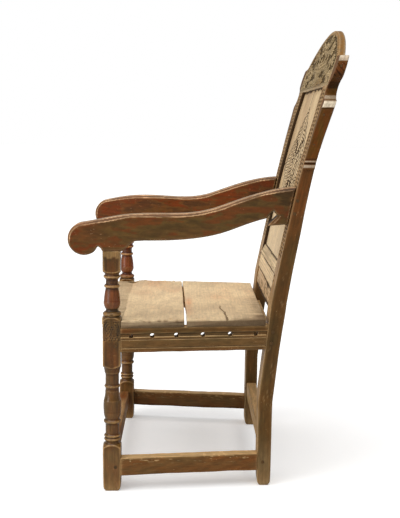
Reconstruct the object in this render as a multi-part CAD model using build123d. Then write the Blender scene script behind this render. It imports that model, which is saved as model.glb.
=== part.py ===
from build123d import *
import os
from math import cos, atan2, sqrt

# An English joined oak armchair with a carved panelled back (a wainscot chair). Millimetres.
# X runs across the chair (+X is the sitter's left), -Y is the front, Z is up from the floor.
# The rails join the uprights with pegged mortises and tenons; the ears and seat boards are pinned on.

# ---------------------------------------------------------------- overall plan of the frame
front_width = 610.0            # across the outer faces of the front legs
back_width = 530.0             # across the outer faces of the rear stiles
front_leg_front_y = -254.7     # front face of the front legs
stile_front_y = 122.5          # front face of the rear stiles at the floor
front_leg_size = 43.0          # square blocks of the front legs
stile_width = 70.0             # rear stiles from the seat up, seen from the front
stile_foot_width = 57.0        # the same at the floor
stile_taper_top_z = 240.0      # the inner side of a stile is upright above this

# ---------------------------------------------------------------- side shape of the rear stiles
knee_z = 215.0                 # upright below this
waist_z = 462.0                # leans lightly up to here
shoulder_z = 650.0             # leans more up to here, then curves back to the top
back_top_z = 1128.0            # top of the crest and of the whole chair
waist_set_back = 26.5          # how far the front face has gone back at each height
shoulder_set_back = 63.5
top_set_back = 195.0
front_bow = 9.6                # how far the curved stretch runs ahead of a straight line
rear_bow = 10.0                # the same on the rear face
stile_foot_depth = 34.0        # front to back
stile_seat_depth = 35.4
stile_shoulder_depth = 32.6
stile_top_depth = 20.0

# ---------------------------------------------------------------- rails and stretchers
seat_rail_bottom_z = 345.0
seat_rail_top_z = 405.0
rear_rail_bottom_z = 338.0
rear_rail_top_z = 382.0        # lower than the side rails
side_rail_thickness = 30.0
front_rail_thickness = 28.0
rear_rail_thickness = 18.0
rear_rail_set_back = 0.5       # behind the front of the stiles
side_stretcher_bottom_z = 40.0
side_stretcher_height = 42.5
side_stretcher_thickness = 30.0
front_stretcher_bottom_z = 43.0
front_stretcher_height = 42.0
front_stretcher_thickness = 28.0
rear_stretcher_bottom_z = 91.0
rear_stretcher_height = 40.0
rear_stretcher_thickness = 27.0

# run-in mouldings on the outer faces of the seat rails
channel_bottom_z = 381.5
channel_height = 9.5
channel_depth = 2.0
bead_line_drop = 4.5           # below the channel
bead_line_height = 1.6
bead_line_depth = 1.2
lower_line_z = 355.0

# ---------------------------------------------------------------- rope holes in the side rails
rope_hole_radius = 6.0
rope_hole_z = 385.0
rope_hole_steps = (25.0, 50.5, 57.5, 64.0, 66.0, 62.0)   # bored by eye, from the front leg back

# ---------------------------------------------------------------- joints
tenon_thickness = 9.0
tenon_length = 26.0
tenon_shoulder = 6.0           # above and below a tenon
joint_gap = 0.15               # round a tenon in its mortise
mortise_spare = 1.0            # empty depth beyond the end of a tenon
peg_radius = 4.0
peg_length = 26.0
peg_gap = 0.1                  # round a peg in its hole
peg_proud = 0.8                # pegs stand out of the worn surface
peg_row_half_pitch = 14.0      # two pegs in a seat rail joint, above and below its middle
middle_rail_peg_half_pitch = 6.5

# ---------------------------------------------------------------- turned front legs
foot_block_top_z = 116.0
seat_block_bottom_z = 306.0
seat_block_top_z = 430.0
cap_block_bottom_z = 536.0
arm_seat_z = 588.0             # underside of the arms, where the front legs meet them
cap_block_size = 41.5
block_shoulder_height = 9.0    # the lathe rounds the corners of a block over this height
# each turned length, from its block up: height, radius there, and radius half way where it swells
upper_turning = (
    (0.0, 17.5, None),
    (1.5, 19.4, None),
    (10.5, 19.4, 22.3),
    (13.0, 15.0, None),
    (17.5, 14.6, None),
    (38.0, 19.4, 19.3),
    (68.5, 15.0, 17.9),
    (69.5, 16.0, None),
    (77.0, 16.0, 18.8),
    (78.5, 14.5, None),
    (85.5, 14.5, None),
    (92.0, 17.0, 14.9),
    (93.5, 18.4, None),
    (99.0, 18.4, 20.2),
    (100.0, 17.2, None),
    (106.0, 19.6, 17.4),
)
lower_turning = (
    (0.0, 20.0, None),
    (5.0, 17.2, 17.8),
    (7.5, 17.2, None),
    (15.5, 17.2, 20.0),
    (16.5, 16.6, None),
    (23.5, 17.2, 20.0),
    (25.5, 16.4, None),
    (50.0, 16.4, None),
    (52.0, 18.2, None),
    (60.0, 18.2, 20.8),
    (62.0, 17.0, None),
    (80.0, 20.9, 20.0),
    (108.0, 20.6, 21.4),
    (131.0, 16.9, 17.8),
    (139.0, 16.4, 16.3),
    (140.0, 17.2, None),
    (146.5, 17.2, 18.8),
    (148.0, 16.2, None),
    (170.5, 16.2, None),
    (176.5, 18.2, 16.6),
    (190.0, 20.8, 19.2),
)
leg_tenon_size = 21.0
leg_tenon_height = 34.0

# ---------------------------------------------------------------- arms
arm_thickness = 45.0
arm_leg_inset = 0.8            # the outer face of an arm stands in from that of the leg
arm_stile_inset = 6.2          # and from that of the stile
arm_tenon_bottom = 76.0        # heights above the seat on the legs
arm_tenon_top = 136.0
arm_tenon_thickness = 12.0
arm_tenon_length = 20.0
arm_peg_length = 42.0
arm_peg_heights = (89.0, 120.0)
arm_peg_set_back = 7.5         # behind the front of the stile
arm_front_peg_length = 29.0
arm_front_peg_height = 18.0
# side outline: distance behind the axis of the front leg, and height above the leg's seat
arm_nose_underside = (-40.3, -1.0)
arm_nose_tip = (-101.3, 28.0)
arm_nose_top = (-72.3, 67.0)
arm_nose_notch = ((-35.3, 7.0), (-32.3, 12.0), (-26.3, 9.0), (-21.0, 0.0))
arm_front_top = ((-33.3, 73.5), (19.7, 83.0), (88.7, 87.2))
arm_front_underside = ((24.0, 0.0), (38.7, 10.5), (50.2, 23.7), (77.7, 25.0))
right_nose_short = 8.5         # the nose of the right arm was sawn this much shorter
right_top_rise = (9.0, 9.0, 7.0, 4.0)   # its nose top and front top points stand this much higher
# the same, but distances are from the front of the stile at its shoulder height
arm_rear_top = ((-212.5, 91.6), (-177.0, 99.5), (-153.5, 107.6), (-58.5, 139.0), (15.5, 151.4))
arm_rear_underside = ((-235.5, 28.0), (-164.5, 40.0), (-117.0, 56.7), (-52.5, 77.0))
arm_bracket = ((-35.5, 96.6), (-31.5, 87.5), (-25.0, 84.0), (-49.5, 59.0), (-30.5, 60.7))
arm_run_on = 60.0              # the outline runs on past the stile front and is cut there
arm_heel_rise = 5.0            # of its lower edge over that run

# ---------------------------------------------------------------- back
lower_board_bottom_z = 431.0
middle_rail_bottom_z = 484.0
middle_rail_top_z = 548.0
crest_height = 148.0
middle_rail_thickness = 24.0
lower_board_thickness = 15.0
lower_board_set_back = 3.0
lower_board_tongue = 12.0
rail_tenon_set_back = 7.0      # of the tenons behind the front of the stiles
panel_set_back = 9.0
panel_thickness = 9.0
panel_groove_depth = 9.0
panel_gap = 0.3
middle_rail_bevel = 9.0
middle_rail_line_z = 521.0
crest_radius = 465.0           # of the arched top
crest_rear_inset = 3.0         # its rear face ahead of the rear of the stiles and ears
crest_tenon_width = 34.0
crest_tenon_height = 35.0
crest_tenon_inset = 15.0       # from the outer side of the stile

# ears: shaped brackets pinned to the outside of the stiles and the crest
# front outline: distance out from the stile, and height above the foot of the ear
ear_drop = 200.0               # foot of the ear below the crest
ear_bead = ((0.0, 0.0), (4.5, 2.0), (7.5, 8.5), (4.5, 15.0))
ear_taper = ((4.5, 15.0), (14.0, 70.0), (25.0, 125.0), (33.5, 152.0))
ear_shoulder = ((33.5, 152.0), (36.0, 159.0), (31.0, 165.0))
ear_notch = ((31.0, 165.0), (11.0, 175.0), (4.0, 188.0), (14.0, 202.0), (38.0, 213.0))
ear_lobe = ((38.0, 213.0), (50.0, 240.0), (41.0, 265.0))
ear_top = (0.0, 268.0)
ear_pin_radius = 3.0
ear_pin_heights = (60.0, 130.0, 240.0)
ear_pin_depth = 26.0           # into the stile or crest

# ---------------------------------------------------------------- seat
seat_board_thickness = 18.0
seat_front_overhang = 5.0
seat_split_left_y = -57.0      # middle of the open joint between the boards, at the left end
seat_split_right_y = -67.5     # and at the right end
seat_split_left_gap = 5.6
seat_split_right_gap = 3.0
seat_rear_gap = 9.5            # between the seat and the front of the stiles
seat_side_overhang = 1.0
seat_notch_gap = 0.6           # round the front legs
seat_pin_radius = 3.5
seat_pin_depth = 24.0
seat_pin_inset = 15.0          # in from the outer face of the side rails
seat_pin_places = (-178.5, -93.5, -30.5, 99.5)
front_pin_x = 150.0

far = 2000.0                   # well beyond the chair on every side
overcut = 1.0                  # how far a cut runs past the face it starts from


# ---------------------------------------------------------------- helpers
def box(x0, x1, y0, y1, z0, z1):
    """A block between the given limits."""
    middle = Pos((x0 + x1) / 2, (y0 + y1) / 2, (z0 + z1) / 2)
    return middle * Box(x1 - x0, y1 - y0, z1 - z0)


def across(outline, x0, x1):
    """A closed side outline, drawn in Y and Z, carried across from x0 to x1."""
    return extrude(Plane.YZ.offset(x0) * make_face(outline), amount=x1 - x0, dir=(1, 0, 0))


def upward(points, z0, z1):
    """A closed plan outline, drawn in X and Y, raised from z0 to z1."""
    face = make_face(Polyline(*points, close=True))
    return Pos(0, 0, z0) * extrude(face, amount=z1 - z0, dir=(0, 0, 1))


def front_to_back(outline):
    """A closed front outline, drawn in X and Z, carried from far in front to far behind."""
    face = Plane.XZ.offset(far) * make_face(outline)
    return extrude(face, amount=2 * far, dir=(0, 1, 0))


def rod_x(x0, x1, y, z, radius):
    """A round rod along X."""
    return Pos((x0 + x1) / 2, y, z) * Rot(0, 90, 0) * Cylinder(radius, x1 - x0)


def rod_y(x, y0, y1, z, radius):
    """A round rod along Y."""
    return Pos(x, (y0 + y1) / 2, z) * Rot(90, 0, 0) * Cylinder(radius, y1 - y0)


def rod_z(x, y, z0, z1, radius):
    """A round rod along Z."""
    return Pos(x, y, (z0 + z1) / 2) * Cylinder(radius, z1 - z0)


def flipped(shape):
    """The same shape on the other side of the chair."""
    return mirror(shape, about=Plane.YZ)


# ---------------------------------------------------------------- places worked out from the sizes
front_outer_x = front_width / 2
back_outer_x = back_width / 2
front_inner_x = front_outer_x - front_leg_size
front_leg_x = front_outer_x - front_leg_size / 2
front_leg_y = front_leg_front_y + front_leg_size / 2
front_leg_rear_y = front_leg_front_y + front_leg_size
stile_inner_x = back_outer_x - stile_width
stile_foot_inner_x = back_outer_x - stile_foot_width
splay = (front_outer_x - back_outer_x) / (stile_front_y - front_leg_rear_y)
splay_cosine = cos(atan2(splay, 1))
seat_top_z = seat_rail_top_z + seat_board_thickness
crest_bottom_z = back_top_z - crest_height
ear_foot_z = crest_bottom_z - ear_drop

stile_front_points = (
    (stile_front_y, knee_z),
    (stile_front_y + waist_set_back, waist_z),
    (stile_front_y + shoulder_set_back, shoulder_z),
    (stile_front_y + top_set_back, back_top_z),
)


def bowed_middle(low, high, bow):
    """The middle of a curve from low to high that runs ahead of its straight line by bow."""
    return ((low[0] + high[0]) / 2 - bow, (low[1] + high[1]) / 2)


def stile_front_at(z):
    """Y of the front of the stiles at a height."""
    knee, waist, shoulder, top = stile_front_points
    if z <= knee[1]:
        return knee[0]
    low, high = (knee, waist) if z <= waist[1] else (waist, shoulder)
    if z > shoulder[1]:
        low, high = shoulder, top
    share = (z - low[1]) / (high[1] - low[1])
    bow = 4 * front_bow * share * (1 - share) if z > shoulder[1] else 0.0
    return low[0] + (high[0] - low[0]) * share - bow


def back_line(depths, bow):
    """A line up the side of a stile: the front line carried back by four depths."""
    knee, waist, shoulder, top = [
        (y + depth, z) for (y, z), depth in zip(stile_front_points, depths)
    ]
    straight = Polyline((knee[0], 0), knee, waist, shoulder)
    curved = ThreePointArc(shoulder, bowed_middle(shoulder, top, bow), top)
    return straight + curved, knee, top


def back_region(front_depths, rear_depths, x0, x1, bow=front_bow):
    """The solid between two such lines, from x0 to x1, over the whole height."""
    front, front_foot, front_top = back_line(front_depths, front_bow)
    rear, rear_foot, rear_top = back_line(rear_depths, bow)
    closing = Line((front_foot[0], 0), (rear_foot[0], 0)) + Line(front_top, rear_top)
    return across(front + rear + closing, x0, x1)


def back_slab(x0, x1, front_depth, rear_depth, z0, z1):
    """A slab that follows the lean of the back, between two depths behind its front."""
    whole = back_region((front_depth,) * 4, (rear_depth,) * 4, x0, x1)
    return whole & box(x0 - overcut, x1 + overcut, -far, far, z0, z1)


stile_depths = (stile_foot_depth, stile_seat_depth, stile_shoulder_depth, stile_top_depth)


def stile_section(x0, x1, z0, z1):
    """The full depth of the stiles, from x0 to x1 and z0 to z1."""
    whole = back_region((0,) * 4, stile_depths, x0, x1, rear_bow)
    return whole & box(x0 - overcut, x1 + overcut, -far, far, z0, z1)


behind_stile_front = back_region((0,) * 4, (far,) * 4, -far, far)


def between_stiles():
    """The room between the inner sides of the stiles."""
    half = (
        (stile_foot_inner_x, 0),
        (stile_inner_x, stile_taper_top_z),
        (stile_inner_x, back_top_z),
    )
    other = tuple((-x, z) for x, z in reversed(half))
    return front_to_back(Polyline(*half, *other, close=True))


stile_room = between_stiles()


def side_outer_x(y):
    """X of the outer faces of the side rails and stretchers at y."""
    return front_outer_x - splay * (y - front_leg_rear_y)


def side_strip(y0, y1, inset0, inset1, z0, z1):
    """A strip along the chair's left side, between two insets from its outer face."""
    near, distant = inset0 / splay_cosine, inset1 / splay_cosine
    points = (
        (side_outer_x(y0) - near, y0),
        (side_outer_x(y1) - near, y1),
        (side_outer_x(y1) - distant, y1),
        (side_outer_x(y0) - distant, y0),
    )
    return upward(points, z0, z1)


# ---------------------------------------------------------------- side rails and side stretchers
def side_tenons(thickness, z0, z1, grow=0.0, spare=0.0):
    """The two tenons of a side member, or their mortises when grown."""
    middle = (z0 + z1) / 2
    back_face = stile_front_at(middle)
    inset = (thickness - tenon_thickness) / 2
    reach = tenon_length + spare
    low, high = z0 + tenon_shoulder - grow, z1 - tenon_shoulder + grow
    near, distant = inset - grow, inset + tenon_thickness + grow
    front_end = front_leg_rear_y + overcut
    front = side_strip(front_leg_rear_y - reach, front_end, near, distant, low, high)
    rear = side_strip(back_face - tenon_length, back_face + reach, near, distant, low, high)
    return front, rear


def side_member(thickness, z0, z1):
    """A side rail or stretcher on the left, with its tenons."""
    body = side_strip(front_leg_rear_y, stile_front_at(z1) + tenon_length, 0, thickness, z0, z1)
    body = body - behind_stile_front
    front, rear = side_tenons(thickness, z0, z1)
    return body + front + rear


def rope_hole_places():
    """Y of each rope hole in a side rail."""
    places, y = [], front_leg_rear_y
    for step in rope_hole_steps:
        y = y + step
        places.append(y)
    return places


def rope_hole(y):
    """The bore of one rope hole, square to the outer face of the left side rail."""
    square_to_face = Plane(origin=(side_outer_x(y), y, rope_hole_z), z_dir=(1, splay, 0))
    return square_to_face * Cylinder(rope_hole_radius, far)


def side_moulding(bottom_z, height, depth):
    """What a plane takes out of the outer face of the left side rail."""
    start, stop = front_leg_rear_y - overcut, stile_front_at(seat_rail_top_z) + overcut
    return side_strip(start, stop, -overcut, depth, bottom_z, bottom_z + height)


def moulding_heights():
    """Bottom, height and depth of each run-in line of a seat rail."""
    bead_line_z = channel_bottom_z - bead_line_drop
    return (
        (channel_bottom_z, channel_height, channel_depth),
        (bead_line_z, bead_line_height, bead_line_depth),
        (lower_line_z, bead_line_height, bead_line_depth),
    )


# ---------------------------------------------------------------- front rail and front stretcher
def front_tenon(thickness, z0, z1, grow=0.0, spare=0.0):
    """The tenons of a front member, as one bar through both its ends."""
    reach = front_inner_x + tenon_length + spare
    near = front_leg_front_y + (thickness - tenon_thickness) / 2 - grow
    distant = near + tenon_thickness + 2 * grow
    low, high = z0 + tenon_shoulder - grow, z1 - tenon_shoulder + grow
    return box(-reach, reach, near, distant, low, high)


def front_member(thickness, z0, z1):
    """A front rail or stretcher, flush with the front of the legs, with its tenons."""
    rear_y = front_leg_front_y + thickness
    body = box(-front_inner_x, front_inner_x, front_leg_front_y, rear_y, z0, z1)
    return body + front_tenon(thickness, z0, z1)


# ---------------------------------------------------------------- members between the stiles
def stile_tenon(front_depth, z0, z1, grow=0.0, spare=0.0):
    """The tenons of a rail between the stiles, as one bar through both its ends."""
    reach = stile_inner_x + tenon_length + spare
    rear_depth = front_depth + tenon_thickness + grow
    return back_slab(-reach, reach, front_depth - grow, rear_depth, z0 - grow, z1 + grow)


def stile_member(front_depth, thickness, z0, z1):
    """The body of a rail between the stiles, following the lean of the back."""
    reach = back_outer_x
    return back_slab(-reach, reach, front_depth, front_depth + thickness, z0, z1) & stile_room


rear_rail_tenon_depth = rear_rail_set_back + (rear_rail_thickness - tenon_thickness) / 2
rear_stretcher_set_back = (stile_foot_depth - rear_stretcher_thickness) / 2
rear_stretcher_tenon_depth = (stile_foot_depth - tenon_thickness) / 2
rear_stretcher_top_z = rear_stretcher_bottom_z + rear_stretcher_height
side_stretcher_top_z = side_stretcher_bottom_z + side_stretcher_height
front_stretcher_top_z = front_stretcher_bottom_z + front_stretcher_height
# thickness, bottom and top of the members that meet the front legs
side_rail_sizes = (side_rail_thickness, seat_rail_bottom_z, seat_rail_top_z)
front_rail_sizes = (front_rail_thickness, seat_rail_bottom_z, seat_rail_top_z)
side_stretcher_sizes = (side_stretcher_thickness, side_stretcher_bottom_z, side_stretcher_top_z)
front_stretcher_sizes = (
    front_stretcher_thickness,
    front_stretcher_bottom_z,
    front_stretcher_top_z,
)
panel_bottom_z = middle_rail_top_z - panel_groove_depth
panel_top_z = crest_bottom_z + panel_groove_depth
middle_tenon_top_z = panel_bottom_z - tenon_shoulder


def rear_tenons(grow=0.0, spare=0.0):
    """Every tenon that enters the inner sides of the stiles."""
    seat = stile_tenon(
        rear_rail_tenon_depth,
        rear_rail_bottom_z + tenon_shoulder,
        rear_rail_top_z - tenon_shoulder,
        grow,
        spare,
    )
    low = stile_tenon(
        rear_stretcher_tenon_depth,
        rear_stretcher_bottom_z + tenon_shoulder,
        rear_stretcher_top_z - tenon_shoulder,
        grow,
        spare,
    )
    middle = stile_tenon(
        rail_tenon_set_back,
        middle_rail_bottom_z + tenon_shoulder,
        middle_tenon_top_z,
        grow,
        spare,
    )
    return seat, low, middle


def lower_board_tongues(grow=0.0):
    """The lower back board at its full width, with the tongues that enter the stiles."""
    reach = stile_inner_x + lower_board_tongue + grow
    rear_depth = lower_board_set_back + lower_board_thickness + grow
    top_z = middle_rail_bottom_z
    return back_slab(
        -reach, reach, lower_board_set_back - grow, rear_depth, lower_board_bottom_z - grow, top_z
    )


def panel_board(gap=0.0):
    """The back panel, or the room it takes in the grooves round it."""
    reach = stile_inner_x + panel_groove_depth - panel_gap + gap
    rear_depth = panel_set_back + panel_thickness + gap
    top_z = panel_top_z - panel_gap + gap
    return back_slab(-reach, reach, panel_set_back - gap, rear_depth, panel_bottom_z, top_z)


def crest_tenon(grow=0.0, spare=0.0):
    """The tenon on top of the left stile, or its mortise in the crest."""
    outer = back_outer_x - crest_tenon_inset + grow
    inner = back_outer_x - crest_tenon_inset - crest_tenon_width - grow
    rear_depth = rail_tenon_set_back + tenon_thickness + grow
    low = crest_bottom_z - overcut
    high = crest_bottom_z + crest_tenon_height + spare
    return back_slab(inner, outer, rail_tenon_set_back - grow, rear_depth, low, high)


# ---------------------------------------------------------------- turned front legs
def turning(stations, base_z, top_z):
    """A turned length of a leg on the Z axis, stretched to run from base_z to top_z."""
    stretch = (top_z - base_z) / stations[-1][0]
    outline = None
    for (low, from_radius, _), (high, to_radius, swell) in zip(stations, stations[1:]):
        start = (from_radius, base_z + low * stretch)
        end = (to_radius, base_z + high * stretch)
        middle = (swell, (start[1] + end[1]) / 2)
        piece = Line(start, end) if swell is None else ThreePointArc(start, middle, end)
        outline = piece if outline is None else outline + piece
    foot_radius, head_radius = stations[0][1], stations[-1][1]
    axis_side = Polyline((head_radius, top_z), (0, top_z), (0, base_z), (foot_radius, base_z))
    return revolve(Plane.XZ * make_face(outline + axis_side), Axis.Z)


def block(size, z0, z1, round_foot=True, round_head=True):
    """A square block on the Z axis, its corners rounded on the lathe at either end."""
    half = size / 2
    corner = half * sqrt(2) + overcut
    foot_radius = half if round_foot else corner
    head_radius = half if round_head else corner
    outline = Polyline((0, z0), (foot_radius, z0), (corner, z0 + block_shoulder_height))
    outline = outline + Line(
        (corner, z0 + block_shoulder_height), (corner, z1 - block_shoulder_height)
    )
    outline = outline + Polyline(
        (corner, z1 - block_shoulder_height), (head_radius, z1), (0, z1), (0, z0)
    )
    return box(-half, half, -half, half, z0, z1) & revolve(
        Plane.XZ * make_face(outline), Axis.Z
    )


def leg_tenon(grow=0.0, spare=0.0):
    """The square tenon on top of a leg, or its mortise in the arm."""
    half = leg_tenon_size / 2 + grow
    low, high = arm_seat_z - overcut, arm_seat_z + leg_tenon_height + spare
    return Pos(front_leg_x, front_leg_y, 0) * box(-half, half, -half, half, low, high)


def leg_blank():
    """The left front leg before its joints are cut."""
    foot = block(front_leg_size, 0, foot_block_top_z, round_foot=False)
    seat = block(front_leg_size, seat_block_bottom_z, seat_block_top_z)
    cap = block(cap_block_size, cap_block_bottom_z, arm_seat_z, round_head=False)
    lower = turning(lower_turning, foot_block_top_z, seat_block_bottom_z)
    upper = turning(upper_turning, seat_block_top_z, cap_block_bottom_z)
    leg = foot + lower + seat + upper + cap
    return Pos(front_leg_x, front_leg_y, 0) * leg + leg_tenon()


# ---------------------------------------------------------------- arms
stile_shoulder_y = stile_front_y + shoulder_set_back
arm_outer_x_at_leg = front_outer_x - arm_leg_inset
arm_outer_x_at_stile = back_outer_x - arm_stile_inset
arm_slant = (arm_outer_x_at_leg - arm_outer_x_at_stile) / (stile_shoulder_y - front_leg_y)


def arm_points(places, start_y):
    """Points of the arm's outline, in Y and Z, from distances behind start_y."""
    return [(start_y + behind, arm_seat_z + above) for behind, above in places]


def arm_side(nose_short, top_rise):
    """The side outline of an arm, running on past the front of the stile."""
    nose_places = (arm_nose_underside, arm_nose_tip, arm_nose_top)
    underside, tip, nose_top = arm_points(nose_places, front_leg_y + nose_short)
    front_top = arm_points(arm_front_top, front_leg_y)
    raised = [(y, z + rise) for (y, z), rise in zip([nose_top, *front_top], top_rise)]
    nose = [underside, tip, raised[0]]
    notch = nose[:1] + arm_points(arm_nose_notch, front_leg_y)
    rear_top = arm_points(arm_rear_top, stile_shoulder_y)
    top = raised + rear_top
    front_underside = arm_points(arm_front_underside, front_leg_y)
    rear_underside = arm_points(arm_rear_underside, stile_shoulder_y)
    long_underside = [front_underside[-1]] + rear_underside
    bracket = [rear_underside[-1]] + arm_points(arm_bracket, stile_shoulder_y)
    run_on_y = stile_shoulder_y + arm_run_on
    heel_z = bracket[-1][1] + arm_heel_rise
    run_on = ((run_on_y, heel_z), (run_on_y, rear_top[-1][1]))
    return (
        ThreePointArc(*nose)
        + Spline(*top)
        + Polyline(*bracket, *run_on, rear_top[-1])
        + Spline(*long_underside)
        + Polyline(*notch, *front_underside)
    )


def arm_outer_x(y):
    """X of the outer face of an arm at y."""
    return arm_outer_x_at_leg - arm_slant * (y - front_leg_y)


def arm_plan():
    """The slanting strip, seen from above, that an arm is sawn to."""
    across_x = arm_thickness / cos(atan2(arm_slant, 1))
    outer = ((arm_outer_x(-far), -far), (arm_outer_x(far), far))
    inner = ((arm_outer_x(far) - across_x, far), (arm_outer_x(-far) - across_x, -far))
    return upward(outer + inner, 0, far)


def arm_tenon(grow=0.0, spare=0.0):
    """The tenon at the rear of the left arm, or its mortise in the stile."""
    middle_x = arm_outer_x_at_stile - arm_thickness / 2
    half = arm_tenon_thickness / 2 + grow
    low = arm_seat_z + arm_tenon_bottom - grow
    high = arm_seat_z + arm_tenon_top + grow
    reach = arm_tenon_length + spare
    return back_slab(middle_x - half, middle_x + half, -overcut, reach, low, high)


def arm(nose_short=0.0, top_rise=(0.0, 0.0, 0.0, 0.0)):
    """An arm for the left of the chair, with its mortise for the leg."""
    body = across(arm_side(nose_short, top_rise), 0, front_width) & arm_plan()
    solid = body - behind_stile_front + arm_tenon() - leg_tenon(joint_gap, mortise_spare)
    return bored(solid, pegs["arm_pegs"])


# ---------------------------------------------------------------- ears
def ear_points(places):
    """Points of the left ear's outline, in X and Z."""
    return [(back_outer_x + out, ear_foot_z + above) for out, above in places]


def ear_blank():
    """The left ear before its pin holes are bored."""
    bead = ear_points(ear_bead)
    taper = ear_points(ear_taper)
    notch = ear_points(ear_notch)
    lobe = ear_points(ear_lobe)
    top, foot = ear_points((ear_top, ear_bead[0]))
    outline = (
        Line(bead[0], bead[1])
        + ThreePointArc(*bead[1:])
        + Spline(*taper)
        + ThreePointArc(*ear_points(ear_shoulder))
        + Spline(*notch)
        + ThreePointArc(*lobe)
        + Polyline(lobe[-1], top, foot)
    )
    return front_to_back(outline) & stile_section(back_outer_x, front_width, 0, back_top_z)


# ---------------------------------------------------------------- crest
def crest_blank():
    """The arched crest before its joints are cut."""
    end_z = back_top_z - crest_radius + sqrt(crest_radius**2 - back_outer_x**2)
    arch = ThreePointArc((-back_outer_x, end_z), (0, back_top_z), (back_outer_x, end_z))
    sides = Polyline(
        (back_outer_x, end_z),
        (back_outer_x, crest_bottom_z),
        (-back_outer_x, crest_bottom_z),
        (-back_outer_x, end_z),
    )
    depths = [depth - crest_rear_inset for depth in stile_depths]
    section = back_region((0,) * 4, depths, -back_outer_x, back_outer_x, rear_bow)
    return front_to_back(arch + sides) & section


# ---------------------------------------------------------------- seat boards
def seat_outline(front_y, rear_y):
    """A straight-sided board from side to side, flush with the side rails, before notching."""
    over = seat_side_overhang
    points = (
        (side_outer_x(front_y) + over, front_y),
        (side_outer_x(rear_y) + over, rear_y),
        (-side_outer_x(rear_y) - over, rear_y),
        (-side_outer_x(front_y) - over, front_y),
    )
    return upward(points, seat_rail_top_z, seat_top_z)


def seat_split():
    """The open joint between the boards, wider at the sitter's left end."""
    reach = front_outer_x
    points = (
        (-reach, seat_split_right_y - seat_split_right_gap / 2),
        (reach, seat_split_left_y - seat_split_left_gap / 2),
        (reach, seat_split_left_y + seat_split_left_gap / 2),
        (-reach, seat_split_right_y + seat_split_right_gap / 2),
    )
    return upward(points, 0, seat_top_z + overcut)


def seat_boards():
    """The front board, notched round the front legs, and the rear board."""
    rear_y = stile_front_at(seat_top_z) - seat_rear_gap
    whole = seat_outline(front_leg_front_y - seat_front_overhang, rear_y)
    gap = seat_notch_gap
    notch = box(front_inner_x - gap, far, -far, front_leg_rear_y + gap, 0, far)
    boards = (whole - notch - flipped(notch) - seat_split()).solids()
    front, rear = boards.sort_by(Axis.Y)
    return front, rear


# ---------------------------------------------------------------- pegs and pins
def peg_x(face_x, y, z, length=peg_length):
    """A peg driven inwards from a face on the left of the chair, and its hole."""
    peg = rod_x(face_x - length, face_x + peg_proud, y, z, peg_radius)
    end = face_x + peg_proud + overcut
    hole = rod_x(face_x - length - mortise_spare, end, y, z, peg_radius + peg_gap)
    return peg, hole


def peg_y(x, face_y, z, length=peg_length):
    """A peg driven backwards from a front face, and its hole."""
    peg = rod_y(x, face_y - peg_proud, face_y + length, z, peg_radius)
    end = face_y - peg_proud - overcut
    hole = rod_y(x, end, face_y + length + mortise_spare, z, peg_radius + peg_gap)
    return peg, hole


seat_rail_middle_z = (seat_rail_bottom_z + seat_rail_top_z) / 2
rail_peg_heights = (
    seat_rail_middle_z - peg_row_half_pitch,
    seat_rail_middle_z + peg_row_half_pitch,
)
side_stretcher_middle_z = (side_stretcher_bottom_z + side_stretcher_top_z) / 2
front_stretcher_middle_z = (front_stretcher_bottom_z + front_stretcher_top_z) / 2
rear_stretcher_middle_z = (rear_stretcher_bottom_z + rear_stretcher_top_z) / 2
middle_rail_middle_z = (middle_rail_bottom_z + tenon_shoulder + middle_tenon_top_z) / 2
half_tenon = tenon_length / 2


def seat_rail_pegs():
    """Left half: side rail pegs in leg and stile, front rail pegs, one rear rail peg."""
    pairs = []
    for z in rail_peg_heights:
        pairs.append(peg_x(front_outer_x, front_leg_rear_y - half_tenon, z))
        pairs.append(peg_x(back_outer_x, stile_front_at(z) + half_tenon, z))
        pairs.append(peg_y(front_inner_x + half_tenon, front_leg_front_y, z))
    rear_z = (rear_rail_bottom_z + rear_rail_top_z) / 2
    pairs.append(peg_y(stile_inner_x + half_tenon, stile_front_at(rear_z), rear_z))
    return pairs


def stretcher_pegs():
    """Left half: one peg for each end of each stretcher."""
    side_z, front_z = side_stretcher_middle_z, front_stretcher_middle_z
    rear_z = rear_stretcher_middle_z
    return [
        peg_x(front_outer_x, front_leg_rear_y - half_tenon, side_z),
        peg_x(back_outer_x, stile_front_y + half_tenon, side_z),
        peg_y(front_inner_x + half_tenon, front_leg_front_y, front_z),
        peg_y((stile_foot_inner_x + stile_inner_x + tenon_length) / 2, stile_front_y, rear_z),
    ]


def back_pegs():
    """Left half: two pegs for the middle rail and one for the crest."""
    pairs = []
    for step in (-middle_rail_peg_half_pitch, middle_rail_peg_half_pitch):
        z = middle_rail_middle_z + step
        pairs.append(peg_y(stile_inner_x + half_tenon, stile_front_at(z), z))
    crest_x = back_outer_x - crest_tenon_inset - crest_tenon_width / 2
    crest_z = crest_bottom_z + crest_tenon_height / 2
    crest_length = stile_top_depth - crest_rear_inset
    pairs.append(peg_y(crest_x, stile_front_at(crest_z), crest_z, crest_length))
    return pairs


def arm_pegs():
    """Left half: two pegs through the stile and one into the leg's tenon from inside."""
    pairs = []
    for height in arm_peg_heights:
        z = arm_seat_z + height
        y = stile_front_at(z) + arm_peg_set_back
        pairs.append(peg_x(back_outer_x, y, z, arm_peg_length))
    z = arm_seat_z + arm_front_peg_height
    inner_x = arm_outer_x_at_leg - arm_thickness
    start, end = inner_x - peg_proud, inner_x + arm_front_peg_length
    peg = rod_x(start, end, front_leg_y, z, peg_radius)
    hole_radius = peg_radius + peg_gap
    hole = rod_x(start - overcut, end + mortise_spare, front_leg_y, z, hole_radius)
    pairs.append((peg, hole))
    return pairs


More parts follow.
